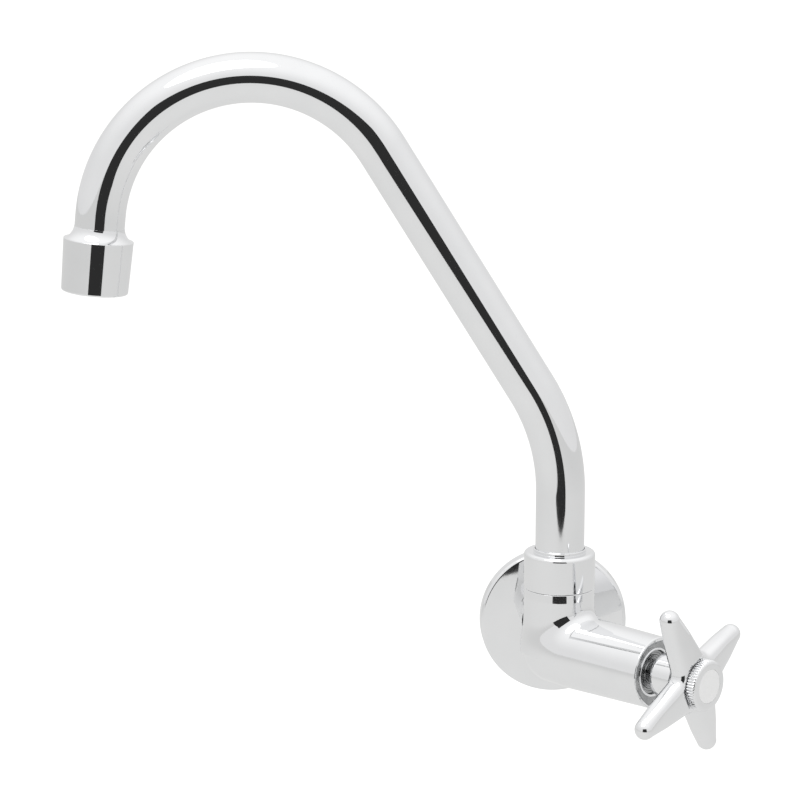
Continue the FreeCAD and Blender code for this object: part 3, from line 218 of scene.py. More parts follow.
def smoothOutline(corners, closed=True):
    # Corners are (radius, height) or (radius, height, rounding), anticlockwise.
    # Gives points and outward normals: rounded corners become arcs, slight turns are smooth, others sharp.
    count = len(corners)
    result = []
    for i, corner in enumerate(corners):
        here = Vector(corner[:2])
        rounding = corner[2] if len(corner) > 2 else 0
        if not closed and i in (0, count - 1):
            near = Vector(corners[1][:2]) - here if i == 0 else here - Vector(corners[-2][:2])
            near.normalize()
            result.append((here, Vector((near.y, -near.x))))
            continue
        before = (here - Vector(corners[i - 1][:2])).normalized()
        after = (Vector(corners[(i + 1) % count][:2]) - here).normalized()
        turn = math.atan2(before.x * after.y - before.y * after.x, before.dot(after))
        normalBefore = Vector((before.y, -before.x))
        normalAfter = Vector((after.y, -after.x))
        if rounding:
            reach = rounding * math.tan(abs(turn) / 2)
            centre = here - before * reach - normalBefore * math.copysign(rounding, turn)
            steps = max(3, math.ceil(abs(turn) / arcStep))
            for k in range(steps + 1):
                normal = normalBefore.copy()
                normal.rotate(Matrix.Rotation(turn * k / steps, 2))
                result.append((centre + normal * math.copysign(rounding, turn), normal))
        elif abs(turn) < smoothTurn:
            result.append((here, (normalBefore + normalAfter).normalized()))
        else:
            result.append((here, normalBefore))
            result.append((here, normalAfter))
    return result


def latheData(corners, steps):
    # Vertices, faces and normals of a closed outline turned about local Z, in metres
    outline = smoothOutline(corners)
    vertices, normals, rings = [], [], []
    for point, normal in outline:
        if point.x < samePoint:
            rings.append([len(vertices)])
            vertices.append((0, 0, point.y * mm))
            normals.append((0, 0, math.copysign(1, normal.y)))
            continue
        rings.append(list(range(len(vertices), len(vertices) + steps)))
        for k in range(steps):
            angle = 2 * math.pi * k / steps
            vertices.append((point.x * mm * math.cos(angle), point.x * mm * math.sin(angle), point.y * mm))
            normals.append((normal.x * math.cos(angle), normal.x * math.sin(angle), normal.y))
    faces = []
    for i, low in enumerate(rings):
        after = (i + 1) % len(rings)
        high = rings[after]
        gap = (outline[i][0] - outline[after][0]).length
        if gap < samePoint or (len(low) == 1 and len(high) == 1):
            continue
        for k in range(steps):
            j = (k + 1) % steps
            if len(low) == 1:
                faces.append((low[0], high[j], high[k]))
            elif len(high) == 1:
                faces.append((low[k], low[j], high[0]))
            else:
                faces.append((low[k], low[j], high[j], high[k]))
    return vertices, faces, normals


def lathePiece(name, corners, place, body, material, hides, steps=144):
    vertices, faces, normals = latheData(corners, steps)
    turn = place.to_3x3()
    newPiece(name, [place @ Vector(v) for v in vertices], faces, [turn @ Vector(n) for n in normals],
             body, material, hides)


# Spout tube

tubeSize = {"radius": 9.525, "wall": 1.0, "foot": 36.7, "straightTop": 62.6, "bendRadius": 78.1, "bendTurn": 31.9,
            "slope": 107.6, "archRadius": 58.1, "archTurn": 142.3, "endStraight": 29.3, "endHidden": 14.9,
            "stepMm": 1.6, "around": 112}


def spoutRoute(size):
    # Centre line as (sideways, height, heading) in mm and radians; heading is the turn from straight up
    side, height, heading = 0.0, size["foot"], 0.0
    route = [(side, height, heading)]
    legs = [("run", size["straightTop"] - size["foot"]), ("turn", size["bendRadius"], size["bendTurn"]),
            ("run", size["slope"]), ("turn", size["archRadius"], size["archTurn"]),
            ("run", size["endStraight"] - size["endHidden"])]
    for leg in legs:
        if leg[0] == "run":
            steps = math.ceil(leg[1] / (size["stepMm"] * 3))       # a straight run needs a third of the rings
            for k in range(steps):
                side += math.sin(heading) * leg[1] / steps
                height += math.cos(heading) * leg[1] / steps
                route.append((side, height, heading))
            continue
        radius, turn = leg[1], math.radians(leg[2])
        steps = math.ceil(radius * turn / size["stepMm"])
        start = heading
        centre = (side + radius * math.cos(start), height - radius * math.sin(start))
        for k in range(1, steps + 1):
            heading = start + turn * k / steps
            side = centre[0] - radius * math.cos(heading)
            height = centre[1] + radius * math.sin(heading)
            route.append((side, height, heading))
    return route


def makeSpoutTube():
    # Makes the tube and gives the place of the outlet, whose local Z looks back up the tube
    size = tubeSize
    route = spoutRoute(size)
    around = size["around"]
    vertices, normals, faces = [], [], []
    skins = ((size["radius"], 1), (size["radius"] - size["wall"], -1))
    for radius, sign in skins:
        for side, height, heading in route:
            centre = spoutFoot + Vector((-side, 0, height)) * mm
            inner = Vector((math.cos(heading), 0, math.sin(heading)))    # away from the bend's centre
            for k in range(around):
                angle = 2 * math.pi * k / around
                way = inner * math.cos(angle) + wallWay * math.sin(angle)
                vertices.append(centre + way * radius * mm)
                normals.append(way * sign)
    perSkin = len(route) * around
    for i in range(len(route) - 1):
        for k in range(around):
            j = (k + 1) % around
            ring = (i * around + k, i * around + j, (i + 1) * around + j, (i + 1) * around + k)
            faces.append(ring)
            faces.append(tuple(perSkin + number for number in ring[::-1]))
    for i in (0, len(route) - 1):
        for k in range(around):
            j = (k + 1) % around
            a, b = i * around + k, i * around + j
            ring = (a, b, perSkin + b, perSkin + a)
            faces.append(ring[::-1] if i == 0 else ring)
    newPiece("spoutTube", vertices, faces, normals, "spout", "chrome", ["spout_tube"])
    side, height, heading = route[-1]
    side += math.sin(heading) * size["endHidden"]
    height += math.cos(heading) * size["endHidden"]
    upTube = Vector((math.sin(heading), 0, -math.cos(heading)))
    return placeOf(wallWay.cross(upTube), wallWay, upTube, spoutFoot + Vector((-side, 0, height)) * mm)


atOutlet = makeSpoutTube()

# Outlet ferrule: crisp upper edge, hollow flare up to the tube, rounded lower lip

ferruleSize = {"thread": 12.0, "low": 12.75, "top": 13.35, "length": 20.2, "lip": 0.7, "topRounding": 0.18,
               "innerRounding": 0.15, "step": 12.5, "flare": 4.7, "flareRadius": 6.0, "flareTop": 9.6,
               "flareRounding": 0.02, "tube": 9.53, "shelf": 10.9}


def makeOutletFerrule():
    size = ferruleSize
    flareTop = size["length"] + size["flare"]
    corners = [(size["thread"], 0, size["innerRounding"]), (size["low"], 0, size["lip"]),
               (size["top"], size["length"], size["topRounding"]),
               (size["step"], size["length"], size["innerRounding"])]
    corners += arcSpan((size["step"], size["length"]), (size["flareTop"], flareTop), -size["flareRadius"], steps=8)
    corners += [(size["flareTop"], flareTop, size["flareRounding"]), (size["tube"], flareTop),
                (size["tube"], size["shelf"]), (size["thread"], size["shelf"])]
    lathePiece("outletFerrule", corners, atOutlet, "spout", "chrome", ["outlet_ferrule"])


makeOutletFerrule()

# Collar nut: plain sleeve with a well rounded shoulder and a small raised ring close round the tube

collarSize = {"radius": 13.9, "foot": 24.75, "footRounding": 0.3, "shoulder": 39.1, "shoulderRounding": 1.5,
              "innerRounding": 0.1, "ring": 10.3, "ringTop": 40.4, "ringRounding": 0.3, "hole": 9.65,
              "lipUnder": 37.7, "neck": 11.65}


def makeCollarNut():
    size = collarSize
    lathePiece("collarNut", [
        (size["neck"], size["foot"], size["innerRounding"]), (size["radius"], size["foot"], size["footRounding"]),
        (size["radius"], size["shoulder"], size["shoulderRounding"]),
        (size["ring"], size["shoulder"], size["innerRounding"]),
        (size["ring"], size["ringTop"], size["ringRounding"]), (size["hole"], size["ringTop"], size["ringRounding"]),
        (size["hole"], size["lipUnder"]), (size["neck"], size["lipUnder"])],
        atSpout, "body", "chrome", ["collar_nut"])


makeCollarNut()

# Wall flange: a pressed cover with a rounded edge and a face that rises only a little to its hole

flangeSize = {"rim": 29.8, "corner": 29.45, "cornerHeight": 5.55, "edge": 28.0, "edgeHeight": 5.6,
              "edgeRounding": 1.4, "height": 5.8, "hole": 12.6, "wall": 1.0, "dome": 365.0, "rounding": 0.3}


def makeWallFlange():
    size = flangeSize
    edge = (size["edge"], size["edgeHeight"])
    crown = (size["hole"], size["height"])
    under = (size["hole"], size["height"] - size["wall"])
    edgeUnder = (size["edge"], size["edgeHeight"] - size["wall"])
    corners = [(size["rim"] - size["wall"], 0, size["rounding"]), (size["rim"], 0, size["rounding"]),
               (size["corner"], size["cornerHeight"], size["edgeRounding"]), edge]
    corners += arcSpan(edge, crown, size["dome"], steps=20)
    corners += [(*crown, size["rounding"]), (*under, size["rounding"])]
    corners += arcSpan(under, edgeUnder, -(size["dome"] - size["wall"]), steps=10)
    corners += [edgeUnder, (size["corner"] - size["wall"], size["cornerHeight"] - size["wall"],
                            size["edgeRounding"] - size["wall"])]
    lathePiece("wallFlange", corners, atWall, "body", "chrome", ["wall_flange"], steps=192)


makeWallFlange()
print("turned pieces made")


# Pieces whose surface is a blend of simple solids: a rough grid is drawn onto the exact blended surface

def smoothUnion(first, second, blend):
    mix = np.clip(0.5 + 0.5 * (second - first) / blend, 0, 1)
    return second * (1 - mix) + first * mix - blend * mix * (1 - mix)


def gradientOf(field, points, step=2e-5):
    rows = []
    for axis in range(3):
        shift = np.zeros(3)
        shift[axis] = step
        rows.append((field(points + shift) - field(points - shift)) / (2 * step))
    return np.stack(rows, axis=1)


def skinNormals(field, points):
    slopes = gradientOf(field, points)
    return slopes / np.linalg.norm(slopes, axis=1)[:, None]


def drawOnto(field, points, rounds=5, farthest=2 * mm):
    for _ in range(rounds):
        slope = gradientOf(field, points)
        reach = (field(points) / np.maximum((slope ** 2).sum(axis=1), 1e-9))[:, None]
        points = points - slope * np.clip(reach, -farthest, farthest)
    return points


def roughGrid(seeds, voxelMm):
    # One closed grid round overlapping seed solids, each given as lathe corners and a place
    vertices, faces = [], []
    for corners, place in seeds:
        solidVertices, solidFaces, _ = latheData(corners, steps=64)
        base = len(vertices)
        vertices += [tuple(place @ Vector(v)) for v in solidVertices]
        faces += [tuple(base + i for i in face) for face in solidFaces]
    mesh = bpy.data.meshes.new("seedMesh")
    mesh.from_pydata(vertices, [], faces)
    seed = bpy.data.objects.new("seedObject", mesh)
    bpy.context.scene.collection.objects.link(seed)
    remesh = seed.modifiers.new("grid", "REMESH")
    remesh.mode = "VOXEL"
    remesh.voxel_size = voxelMm * mm
    grid = bpy.data.meshes.new_from_object(seed.evaluated_get(bpy.context.evaluated_depsgraph_get()))
    bpy.data.objects.remove(seed)
    bpy.data.meshes.remove(mesh)
    return grid


def relaxOnto(grid, field, rounds=6):
    # Even out the grid while it stays on the surface
    count = len(grid.vertices)
    points = np.empty(count * 3)
    grid.vertices.foreach_get("co", points)
    points = drawOnto(field, points.reshape(-1, 3))
    edges = np.empty(len(grid.edges) * 2, dtype=np.int64)
    grid.edges.foreach_get("vertices", edges)
    edges = edges.reshape(-1, 2)
    degree = np.bincount(edges.ravel(), minlength=count)[:, None]
    for _ in range(rounds):
        total = np.zeros_like(points)
        np.add.at(total, edges[:, 0], points[edges[:, 1]])
        np.add.at(total, edges[:, 1], points[edges[:, 0]])
        points = drawOnto(field, points * 0.5 + 0.5 * total / degree, rounds=2)
    return points


# Valve body: forged shell, blended from a barrel, a riser and an inlet neck, and cut where turning takes over.
# Each "Cut" is where the blended skin ends, and each "Seed" how far its rough grid reaches.

bodySize = {"backRadius": 14.0, "rootRadius": 14.6, "rootOut": 9.0, "mouthRadius": 13.8, "barrelLength": 48.5,
            "barrelCut": 27.0, "barrelSeed": 40.0, "lip": 0.6, "bevelTop": 13.15, "bevelFoot": 10.45,
            "bevelDepth": 1.5, "bevelRounding": 0.1, "mouthFloor": 39.0, "riserRadius": 13.9, "riserEnd": 13.79,
            "riserTop": 24.65, "riserCut": 21.5, "riserSeed": 32.0, "seamRounding": 0.3, "collarNeck": 11.6,
            "collarNeckRounding": 0.2, "collarNeckTop": 33.7, "tubeHole": 9.56, "neckRadius": 12.0,
            "neckLength": 40.0, "neckCut": 24.0, "neckSeed": 34.0, "shankRadius": 10.48, "shankEnd": 58.0,
            "shankRounding": 0.5, "bore": 6.0, "boreRounding": 0.3, "boreFloor": 20.0, "threadFoot": 42.2,
            "threadPitch": 1.814, "threadDepth": 1.0, "threadTurns": 8, "threadRounding": 0.12, "blend": 4.4,
            "voxel": 0.6}


def radialAndAlong(points, way):
    way = np.array(way)
    along = points @ way
    return np.linalg.norm(points - along[:, None] * way, axis=1), along


def bodyField(points):
    # Distance-like field in metres about the spout's foot; zero on the forging's skin
    size = bodySize
    radial, along = radialAndAlong(points, barrelWay)
    reach = np.array([0, size["rootOut"], size["barrelLength"]]) * mm
    outer = np.interp(along, reach, np.array([size["backRadius"], size["rootRadius"], size["mouthRadius"]]) * mm)
    ball = np.linalg.norm(points, axis=1) - size["backRadius"] * mm
    barrel = np.where(along > 0, radial - outer, ball)
    radial, along = radialAndAlong(points, upWay)
    riser = np.maximum(radial - size["riserRadius"] * mm, -along)
    radial, along = radialAndAlong(points, wallWay)
    neck = np.maximum(radial - size["neckRadius"] * mm, -along)
    blend = size["blend"] * mm
    return smoothUnion(smoothUnion(barrel, riser, blend), neck, blend)


def cutEnd(bm, way, reachMm):
    # Cuts the shell square to an axis and gives the open ring, in order round the axis, and its directions
    cut = bmesh.ops.bisect_plane(bm, geom=bm.verts[:] + bm.edges[:] + bm.faces[:], dist=1e-7,
                                 plane_co=way * reachMm * mm, plane_no=way, clear_outer=True)
    ring = [item for item in cut["geom_cut"] if isinstance(item, bmesh.types.BMVert)]
    side = way.orthogonal().normalized()
    other = way.cross(side)
    ring.sort(key=lambda v: math.atan2(v.co.dot(other), v.co.dot(side)))
    return ring, way, side, other


def extendEnd(bm, normals, end, corners):
    # Carries an open ring on along its axis through an outline, vertex for vertex
    ring, way, side, other = end
    angles = [math.atan2(v.co.dot(other), v.co.dot(side)) for v in ring]
    outs = [side * math.cos(angle) + other * math.sin(angle) for angle in angles]
    outline = smoothOutline(corners, closed=False)
    for step, (point, normal) in enumerate(outline):
        places = [out * point.x * mm + way * point.y * mm for out in outs]
        if step:
            fresh = [bm.verts.new(place) for place in places]
            if (point - outline[step - 1][0]).length >= samePoint:     # a sharp corner has two rings and no faces
                for k in range(len(ring)):
                    j = (k + 1) % len(ring)
                    bm.faces.new((ring[k], ring[j], fresh[j], fresh[k]))
            ring = fresh
        else:
            for vert, place in zip(ring, places):
                vert.co = place
        for vert, out in zip(ring, outs):
            normals[vert] = out * normal.x + way * normal.y


def makeValveBody():
    size = bodySize
    middle = Vector((0, 0, 0))
    back = size["backRadius"]
    ball = [(0, -back)] + arcSpan((0, -back), (back, 0), back, steps=10)
    grid = roughGrid([
        (ball + [(back, 0), (size["rootRadius"], size["rootOut"]), (size["mouthRadius"], size["barrelSeed"]),
                 (0, size["barrelSeed"])], placeOf(upWay.cross(barrelWay), upWay, barrelWay, middle)),
        ([(0, 0), (size["riserRadius"], 0), (size["riserRadius"], size["riserSeed"]), (0, size["riserSeed"])],
         Matrix.Identity(4)),
        ([(0, 0), (size["neckRadius"], 0), (size["neckRadius"], size["neckSeed"]), (0, size["neckSeed"])],
         placeOf(Vector((1, 0, 0)), Vector((0, 0, -1)), wallWay, middle))], size["voxel"])
    points = relaxOnto(grid, bodyField)
    grid.vertices.foreach_set("co", points.ravel())
    bm = bmesh.new()
    bm.from_mesh(grid)
    bpy.data.meshes.remove(grid)
    barrelEnd = cutEnd(bm, barrelWay, size["barrelCut"])
    riserEnd = cutEnd(bm, upWay, size["riserCut"])
    neckEnd = cutEnd(bm, wallWay, size["neckCut"])
    skin = list(bm.verts)
    skinWays = skinNormals(bodyField, np.array([v.co[:] for v in skin]))
    normals = {vert: Vector(way) for vert, way in zip(skin, skinWays)}
    taper = (size["rootRadius"] - size["mouthRadius"]) / (size["barrelLength"] - size["rootOut"])
    cutRadius = size["rootRadius"] - taper * (size["barrelCut"] - size["rootOut"])
    extendEnd(bm, normals, barrelEnd, [
        (cutRadius, size["barrelCut"]), (size["mouthRadius"], size["barrelLength"], size["lip"]),
        (size["bevelTop"], size["barrelLength"], size["bevelRounding"]),
        (size["bevelFoot"], size["barrelLength"] - size["bevelDepth"], size["bevelRounding"]),
        (size["bevelFoot"], size["mouthFloor"]), (size["bore"], size["mouthFloor"])])
    extendEnd(bm, normals, riserEnd, [
        (size["riserRadius"], size["riserCut"]), (size["riserEnd"], size["riserTop"], size["seamRounding"]),
        (size["collarNeck"], size["riserTop"], size["collarNeckRounding"]),
        (size["collarNeck"], size["collarNeckTop"], size["seamRounding"]),
        (size["tubeHole"], size["collarNeckTop"])])
    thread = []                                        # half-inch pipe thread, drawn as rings
    for turn in range(size["threadTurns"]):
        crest = size["threadFoot"] + turn * size["threadPitch"]
        thread += [(size["shankRadius"], crest, size["threadRounding"]),
                   (size["shankRadius"] - size["threadDepth"], crest + size["threadPitch"] / 2,
                    size["threadRounding"])]
    thread.append((size["shankRadius"], size["threadFoot"] + size["threadTurns"] * size["threadPitch"],
                   size["threadRounding"]))
    extendEnd(bm, normals, neckEnd, [
        (size["neckRadius"], size["neckCut"]), (size["neckRadius"], size["neckLength"]),
        (size["shankRadius"], size["neckLength"]), *thread,
        (size["shankRadius"], size["shankEnd"], size["shankRounding"]),
        (size["bore"], size["shankEnd"], size["boreRounding"]), (size["bore"], size["boreFloor"])])
    bm.verts.index_update()
    vertices = [v.co + spoutFoot for v in bm.verts]
    faces = [tuple(v.index for v in face.verts) for face in bm.faces]
    ordered = [normals[v] for v in bm.verts]
    bm.free()
    newPiece("valveBody", vertices, faces, ordered, "body", "chrome", ["valve_body"])


makeValveBody()


# Cross handle: boss, hub and four arms with softly squared sections, blended into one casting

handleSize = {"back": 50.3, "backRounding": 1.5, "boss": 8.3, "waist": 60.0, "hub": 9.3, "hubFrom": 65.0,
              "front": 68.6, "armOut": 63.24, "armCount": 4, "armTurn": 25.4, "tipCentre": 29.15, "tipRadius": 3.86,
              "growth": 0.18, "tipDepth": 3.8, "depthGrowth": 0.035, "rise": 0.1, "square": 3.0, "roundTip": 8.0,
              "blend": 1.6, "seat": 10.1, "seatFloor": 69.1, "voxel": 0.45, "seedFlat": 0.6, "seedTip": 0.7}


def armAngles(size):
    return [math.radians(size["armTurn"] + 360 / size["armCount"] * number) for number in range(size["armCount"])]


def handleField(points):
    # Distance-like field in metres about the barrel's axis; zero on the casting's skin
    size = handleSize
    radial = np.hypot(points[:, 0], points[:, 1])
    height = points[:, 2]
    # Boss and hub: a round column that widens from one to the other, with rounded ends
    widen = np.clip((height - size["waist"] * mm) / ((size["hubFrom"] - size["waist"]) * mm), 0, 1)
    widen = widen * widen * (3 - 2 * widen)
    outer = (size["boss"] + (size["hub"] - size["boss"]) * widen) * mm
    rounding = size["backRounding"] * mm
    across = radial - outer + rounding
    middle = (size["front"] + size["back"]) / 2 * mm
    along = np.abs(height - middle) - (size["front"] - size["back"]) / 2 * mm + rounding
    outside = np.hypot(np.maximum(across, 0), np.maximum(along, 0))
    shape = outside + np.minimum(np.maximum(across, along), 0) - rounding
    tiny = 1e-6                                        # keeps the powers clear of zero
    for angle in armAngles(size):
        reach = -points[:, 0] * math.sin(angle) + points[:, 1] * math.cos(angle)
        side = points[:, 0] * math.cos(angle) + points[:, 1] * math.sin(angle)
        inward = np.clip(size["tipCentre"] * mm - reach, 0, size["tipCentre"] * mm)
        width = size["tipRadius"] * mm + size["growth"] * inward
        depth = size["tipDepth"] * mm + size["depthGrowth"] * inward
        above = height - size["armOut"] * mm - size["rise"] * inward
        # The section is a plain oval (power 2) at the tip and reaches its squarer form roundTip further in
        power = 2 + (size["square"] - 2) * np.clip(inward / (size["roundTip"] * mm), 0, 1)
        section = ((np.abs(side) / width + tiny) ** power + (np.abs(above) / depth + tiny) ** power) ** (1 / power)
        beyond = np.maximum(reach - size["tipCentre"] * mm, 0) / (size["tipRadius"] * mm)
        behind = np.maximum(-reach, 0) / (size["tipRadius"] * mm)
        arm = (np.sqrt(section ** 2 + beyond ** 2 + behind ** 2) - 1) * depth
        shape = smoothUnion(shape, arm, size["blend"] * mm)
    seat = np.maximum(radial - size["seat"] * mm, size["seatFloor"] * mm - height)       # turned out for the cap
    return np.maximum(shape, -seat)


def makeCrossHandle():
    size = handleSize
    middle = (size["back"] + size["front"]) / 2
    seeds = [([(0, size["back"]), (size["boss"], size["back"]), (size["hub"], middle), (size["hub"], size["front"]),
               (0, size["front"])], Matrix.Identity(4))]
    root = size["tipRadius"] + size["growth"] * size["tipCentre"]
    tip = size["tipRadius"] * size["seedTip"]
    armCorners = [(0, 0), (root, 0), (size["tipRadius"], size["tipCentre"]), (tip, size["tipCentre"] + tip),
                  (0, size["tipCentre"] + size["tipRadius"])]
    for angle in armAngles(size):
        arm = Matrix.Translation((0, 0, size["armOut"] * mm)) @ Matrix.Rotation(angle, 4, "Z") \
            @ Matrix.Rotation(-math.pi / 2, 4, "X") @ Matrix.Scale(size["seedFlat"], 4, (0, 1, 0))
        seeds.append((armCorners, arm))
    grid = roughGrid(seeds, size["voxel"])
    points = relaxOnto(grid, handleField)
    turn = atBarrel.to_3x3()
    faces = [tuple(face.vertices) for face in grid.polygons]
    bpy.data.meshes.remove(grid)
    newPiece("crossHandle", [atBarrel @ Vector(p) for p in points], faces,
             [turn @ Vector(n) for n in skinNormals(handleField, points)],
             "handle", "chrome", ["cross_handle"])


makeCrossHandle()

# Handle cap: serrated side, rounded front and a shallow seat for the badge

capSize = {"foot": 69.3, "footRounding": 0.25, "radius": 9.8, "front": 73.1, "frontRounding": 1.5, "teeth": 54,
           "perTooth": 10, "toothDepth": 0.55, "toothTop": 72.7, "toothFade": 0.8, "toothShape": 1.5,
           "toothRings": (0.7, 1.4), "toothInner": 8.1, "badge": 6.53, "badgeFloor": 72.4, "badgeRounding": 0.03,
           "skirt": 6.5, "skirtFoot": 67.1, "skirtRounding": 0.2, "innerRounding": 0.1, "sharpAngle": 50}


def makeHandleCap():
    size = capSize
    vertices, faces, _ = latheData([
        (0, size["skirtFoot"]), (size["skirt"], size["skirtFoot"], size["skirtRounding"]),
        (size["skirt"], size["foot"], size["innerRounding"]), (size["radius"], size["foot"], size["footRounding"]),
        *[(size["radius"], size["foot"] + up) for up in size["toothRings"]],
        (size["radius"], size["front"], size["frontRounding"]), (size["badge"], size["front"], size["badgeRounding"]),
        (size["badge"], size["badgeFloor"]), (0, size["badgeFloor"])], size["teeth"] * size["perTooth"])
    places = []
    for x, y, z in vertices:
        radius, height = math.hypot(x, y) / mm, z / mm
        fade = min(max((size["toothTop"] - height) / size["toothFade"], 0), 1) if height > size["foot"] else 0
        wave = abs(((math.atan2(y, x) * size["teeth"] / (2 * math.pi)) % 1) - 0.5) * 2
        cut = size["toothDepth"] * fade * wave ** size["toothShape"] if radius > size["toothInner"] else 0
        scale = (radius - cut) / radius if radius else 1
        places.append(atBarrel @ Vector((x * scale, y * scale, z)))
    cap = newPiece("handleCap", places, faces, None, "handle", "chrome", ["handle_cap"])
    cap.data.set_sharp_from_angle(angle=math.radians(size["sharpAngle"]))


makeHandleCap()

# A dark ring set where there is only shade: painted shade under the cap
capShadeRingSize = {"inner": 6.6, "outer": 9.35, "foot": 68.2, "top": 69.28, "rounding": 0.15}


def makeCapShadeRing():
    # Thin black rubber ring put into the gap under the cap as painted shade of that gap; it shows as a dark line
    # round the cap's foot
    size = capShadeRingSize
    lathePiece("capShadeRing", [
        (size["inner"], size["foot"]), (size["outer"], size["foot"], size["rounding"]),
        (size["outer"], size["top"], size["rounding"]), (size["inner"], size["top"])],
        atBarrel, "handle", "rubber", [])


makeCapShadeRing()

badgeSize = {"radius": 6.5, "floor": 72.42, "edge": 73.04, "edgeRounding": 0.05, "crown": 73.1}


def makeCapBadge():
    # A satin disc with the slightest crown
    size = badgeSize
    rise = size["crown"] - size["edge"]
    crownRadius = (size["radius"] ** 2 + rise ** 2) / (2 * rise)
    corners = [(0, size["floor"]), (size["radius"], size["floor"]),
               (size["radius"], size["edge"], size["edgeRounding"])]
    corners += arcSpan((size["radius"], size["edge"]), (0, size["crown"]), crownRadius, steps=12)
    corners.append((0, size["crown"]))
    lathePiece("capBadge", corners, atBarrel, "handle", "badge", ["cap_badge"])


makeCapBadge()

# Headwork in the barrel's mouth: hexagon with a dished front and a bright inner ring

headworkSize = {"flats": 22.7, "turn": 8.0, "foot": 40.0, "face": 48.42, "edgeDrop": 0.12, "dishRadius": 9.6,
                "dishFloor": 47.4, "dishRings": (0.985, 0.7, 0.35, 0.0), "bead": 0.45, "beadSteps": 8,
                "room": 8.6, "roomFloor": 42.0, "hole": 4.1, "around": 180, "sharpAngle": 40}


def makeHeadwork():
    size = headworkSize
    around = size["around"]
    corner = size["flats"] / 2 / math.cos(math.radians(30))
    fall = (size["face"] - size["dishFloor"]) / (corner - size["dishRadius"])
    vertices, faces = [], []

    def hexReach(angle):
        sector = (angle - math.radians(size["turn"])) % math.radians(60)
        return size["flats"] / 2 / math.cos(sector - math.radians(30))

    def addRing(radiusOf, heightOf):
        for k in range(around):
            angle = 2 * math.pi * k / around
            radius = radiusOf(angle)
            vertices.append((radius * math.cos(angle) * mm, radius * math.sin(angle) * mm, heightOf(radius) * mm))

    def dishHeight(radius):
        return size["dishFloor"] + fall * (radius - size["dishRadius"])

    addRing(hexReach, lambda r: size["foot"])
    addRing(hexReach, lambda r: dishHeight(r) - size["edgeDrop"])
    for share in size["dishRings"]:
        addRing(lambda a, share=share: size["dishRadius"] + (hexReach(a) - size["dishRadius"]) * share, dishHeight)
    beadStart = len(vertices) // around
    middle = (size["dishRadius"] + size["room"]) / 2
    half = (size["dishRadius"] - size["room"]) / 2
    for step in range(size["beadSteps"] + 1):          # polished bead round the gland's room
        turn = math.pi * step / size["beadSteps"]
        addRing(lambda a, turn=turn: middle + half * math.cos(turn),
                lambda r, turn=turn: size["dishFloor"] + size["bead"] * math.sin(turn))
    beadEnd = len(vertices) // around
    for radius, height in ((size["room"], size["roomFloor"]), (size["hole"], size["roomFloor"]),
                           (size["hole"], size["foot"])):
        addRing(lambda a, radius=radius: radius, lambda r, height=height: height)
    ringCount = len(vertices) // around
    for i in range(ringCount):
        nextRing = (i + 1) % ringCount
        for k in range(around):
            j = (k + 1) % around
            faces.append((i * around + k, i * around + j, nextRing * around + j, nextRing * around + k))
    places = [atBarrel @ Vector(v) for v in vertices]
    piece = newPiece("headworkHexagon", places, faces, None, "body", "nickel", ["headwork_body"])
    piece.data.materials.append(materials["chrome"])   # for the bead alone
    for face in piece.data.polygons[(beadStart - 1) * around:(beadEnd - 1) * around]:
        face.material_index = 1
    piece.data.set_sharp_from_angle(angle=math.radians(size["sharpAngle"]))


makeHeadwork()

glandSize = {"radius": 8.55, "foot": 44.4, "front": 46.4, "edgeRounding": 0.3, "groove": 0.35,
             "steps": (7.6, 6.7, 5.8, 4.9), "stepSlope": 0.2, "stepRounding": 0.08, "hole": 4.06, "holeRounding": 0.2}


def makeGlandNut():
    # Gland nut, deep in the hexagon, with turned rings on its front
    size = glandSize
    corners = [(size["hole"], size["foot"]), (size["radius"], size["foot"]),
               (size["radius"], size["front"], size["edgeRounding"])]
    for k, radius in enumerate(size["steps"]):
        height = size["front"] - size["groove"] * (k % 2)
        after = size["front"] - size["groove"] * ((k + 1) % 2)
        corners += [(radius, height, size["stepRounding"]), (radius - size["stepSlope"], after, size["stepRounding"])]
    corners += [(size["hole"], size["front"], size["holeRounding"])]
    lathePiece("glandNut", corners, atBarrel, "body", "nickel", ["gland_nut"])


makeGlandNut()
print("handle and headwork made")


# Stage: pale floor, white surround, and a dark screen round the camera that chrome shows as its dark stripe

stageLook = {"floorHeight": -0.32, "floorSize": 30.0, "floorColour": "#EEEEED", "cameraGlow": 0.4}


def flatPanel(name, corners, material):
    mesh = bpy.data.meshes.new(name)
    mesh.from_pydata(corners, [], [(0, 1, 2, 3)])
    mesh.materials.append(material)
    panel = bpy.data.objects.new(name, mesh)
    bpy.context.scene.collection.objects.link(panel)
    return panel


def makeFloor():
    # Pale matt floor that glows a little for the camera alone, so that it shows as the white surround
    look = stageLook
    material = bpy.data.materials.new("whiteFloor")
    tree = clearedTree(material)
    plain = addNode(tree, "ShaderNodeBsdfDiffuse", {"Color": linearColour(look["floorColour"])}).outputs["BSDF"]
    glow = addNode(tree, "ShaderNodeEmission", {"Strength": look["cameraGlow"]}).outputs["Emission"]
    both = addNode(tree, "ShaderNodeAddShader", {}, {0: plain, 1: glow}).outputs["Shader"]
    cameraRay = addNode(tree, "ShaderNodeLightPath").outputs["Is Camera Ray"]
    mix = addNode(tree, "ShaderNodeMixShader", {}, {"Fac": cameraRay, 1: plain, 2: both}).outputs["Shader"]
    addNode(tree, "ShaderNodeOutputMaterial", {}, {"Surface": mix})
    far, height = look["floorSize"] / 2, look["floorHeight"]
    floor = flatPanel("floor", [(-far, -far, height), (far, -far, height), (far, far, height), (-far, far, height)],
                      material)


makeFloor()

screenLook = {"distance": 1.29, "left": -0.57, "rightLow": 0.47, "rightHigh": 0.38, "low": -0.28, "high": 0.48,
              "colour": "#303030"}


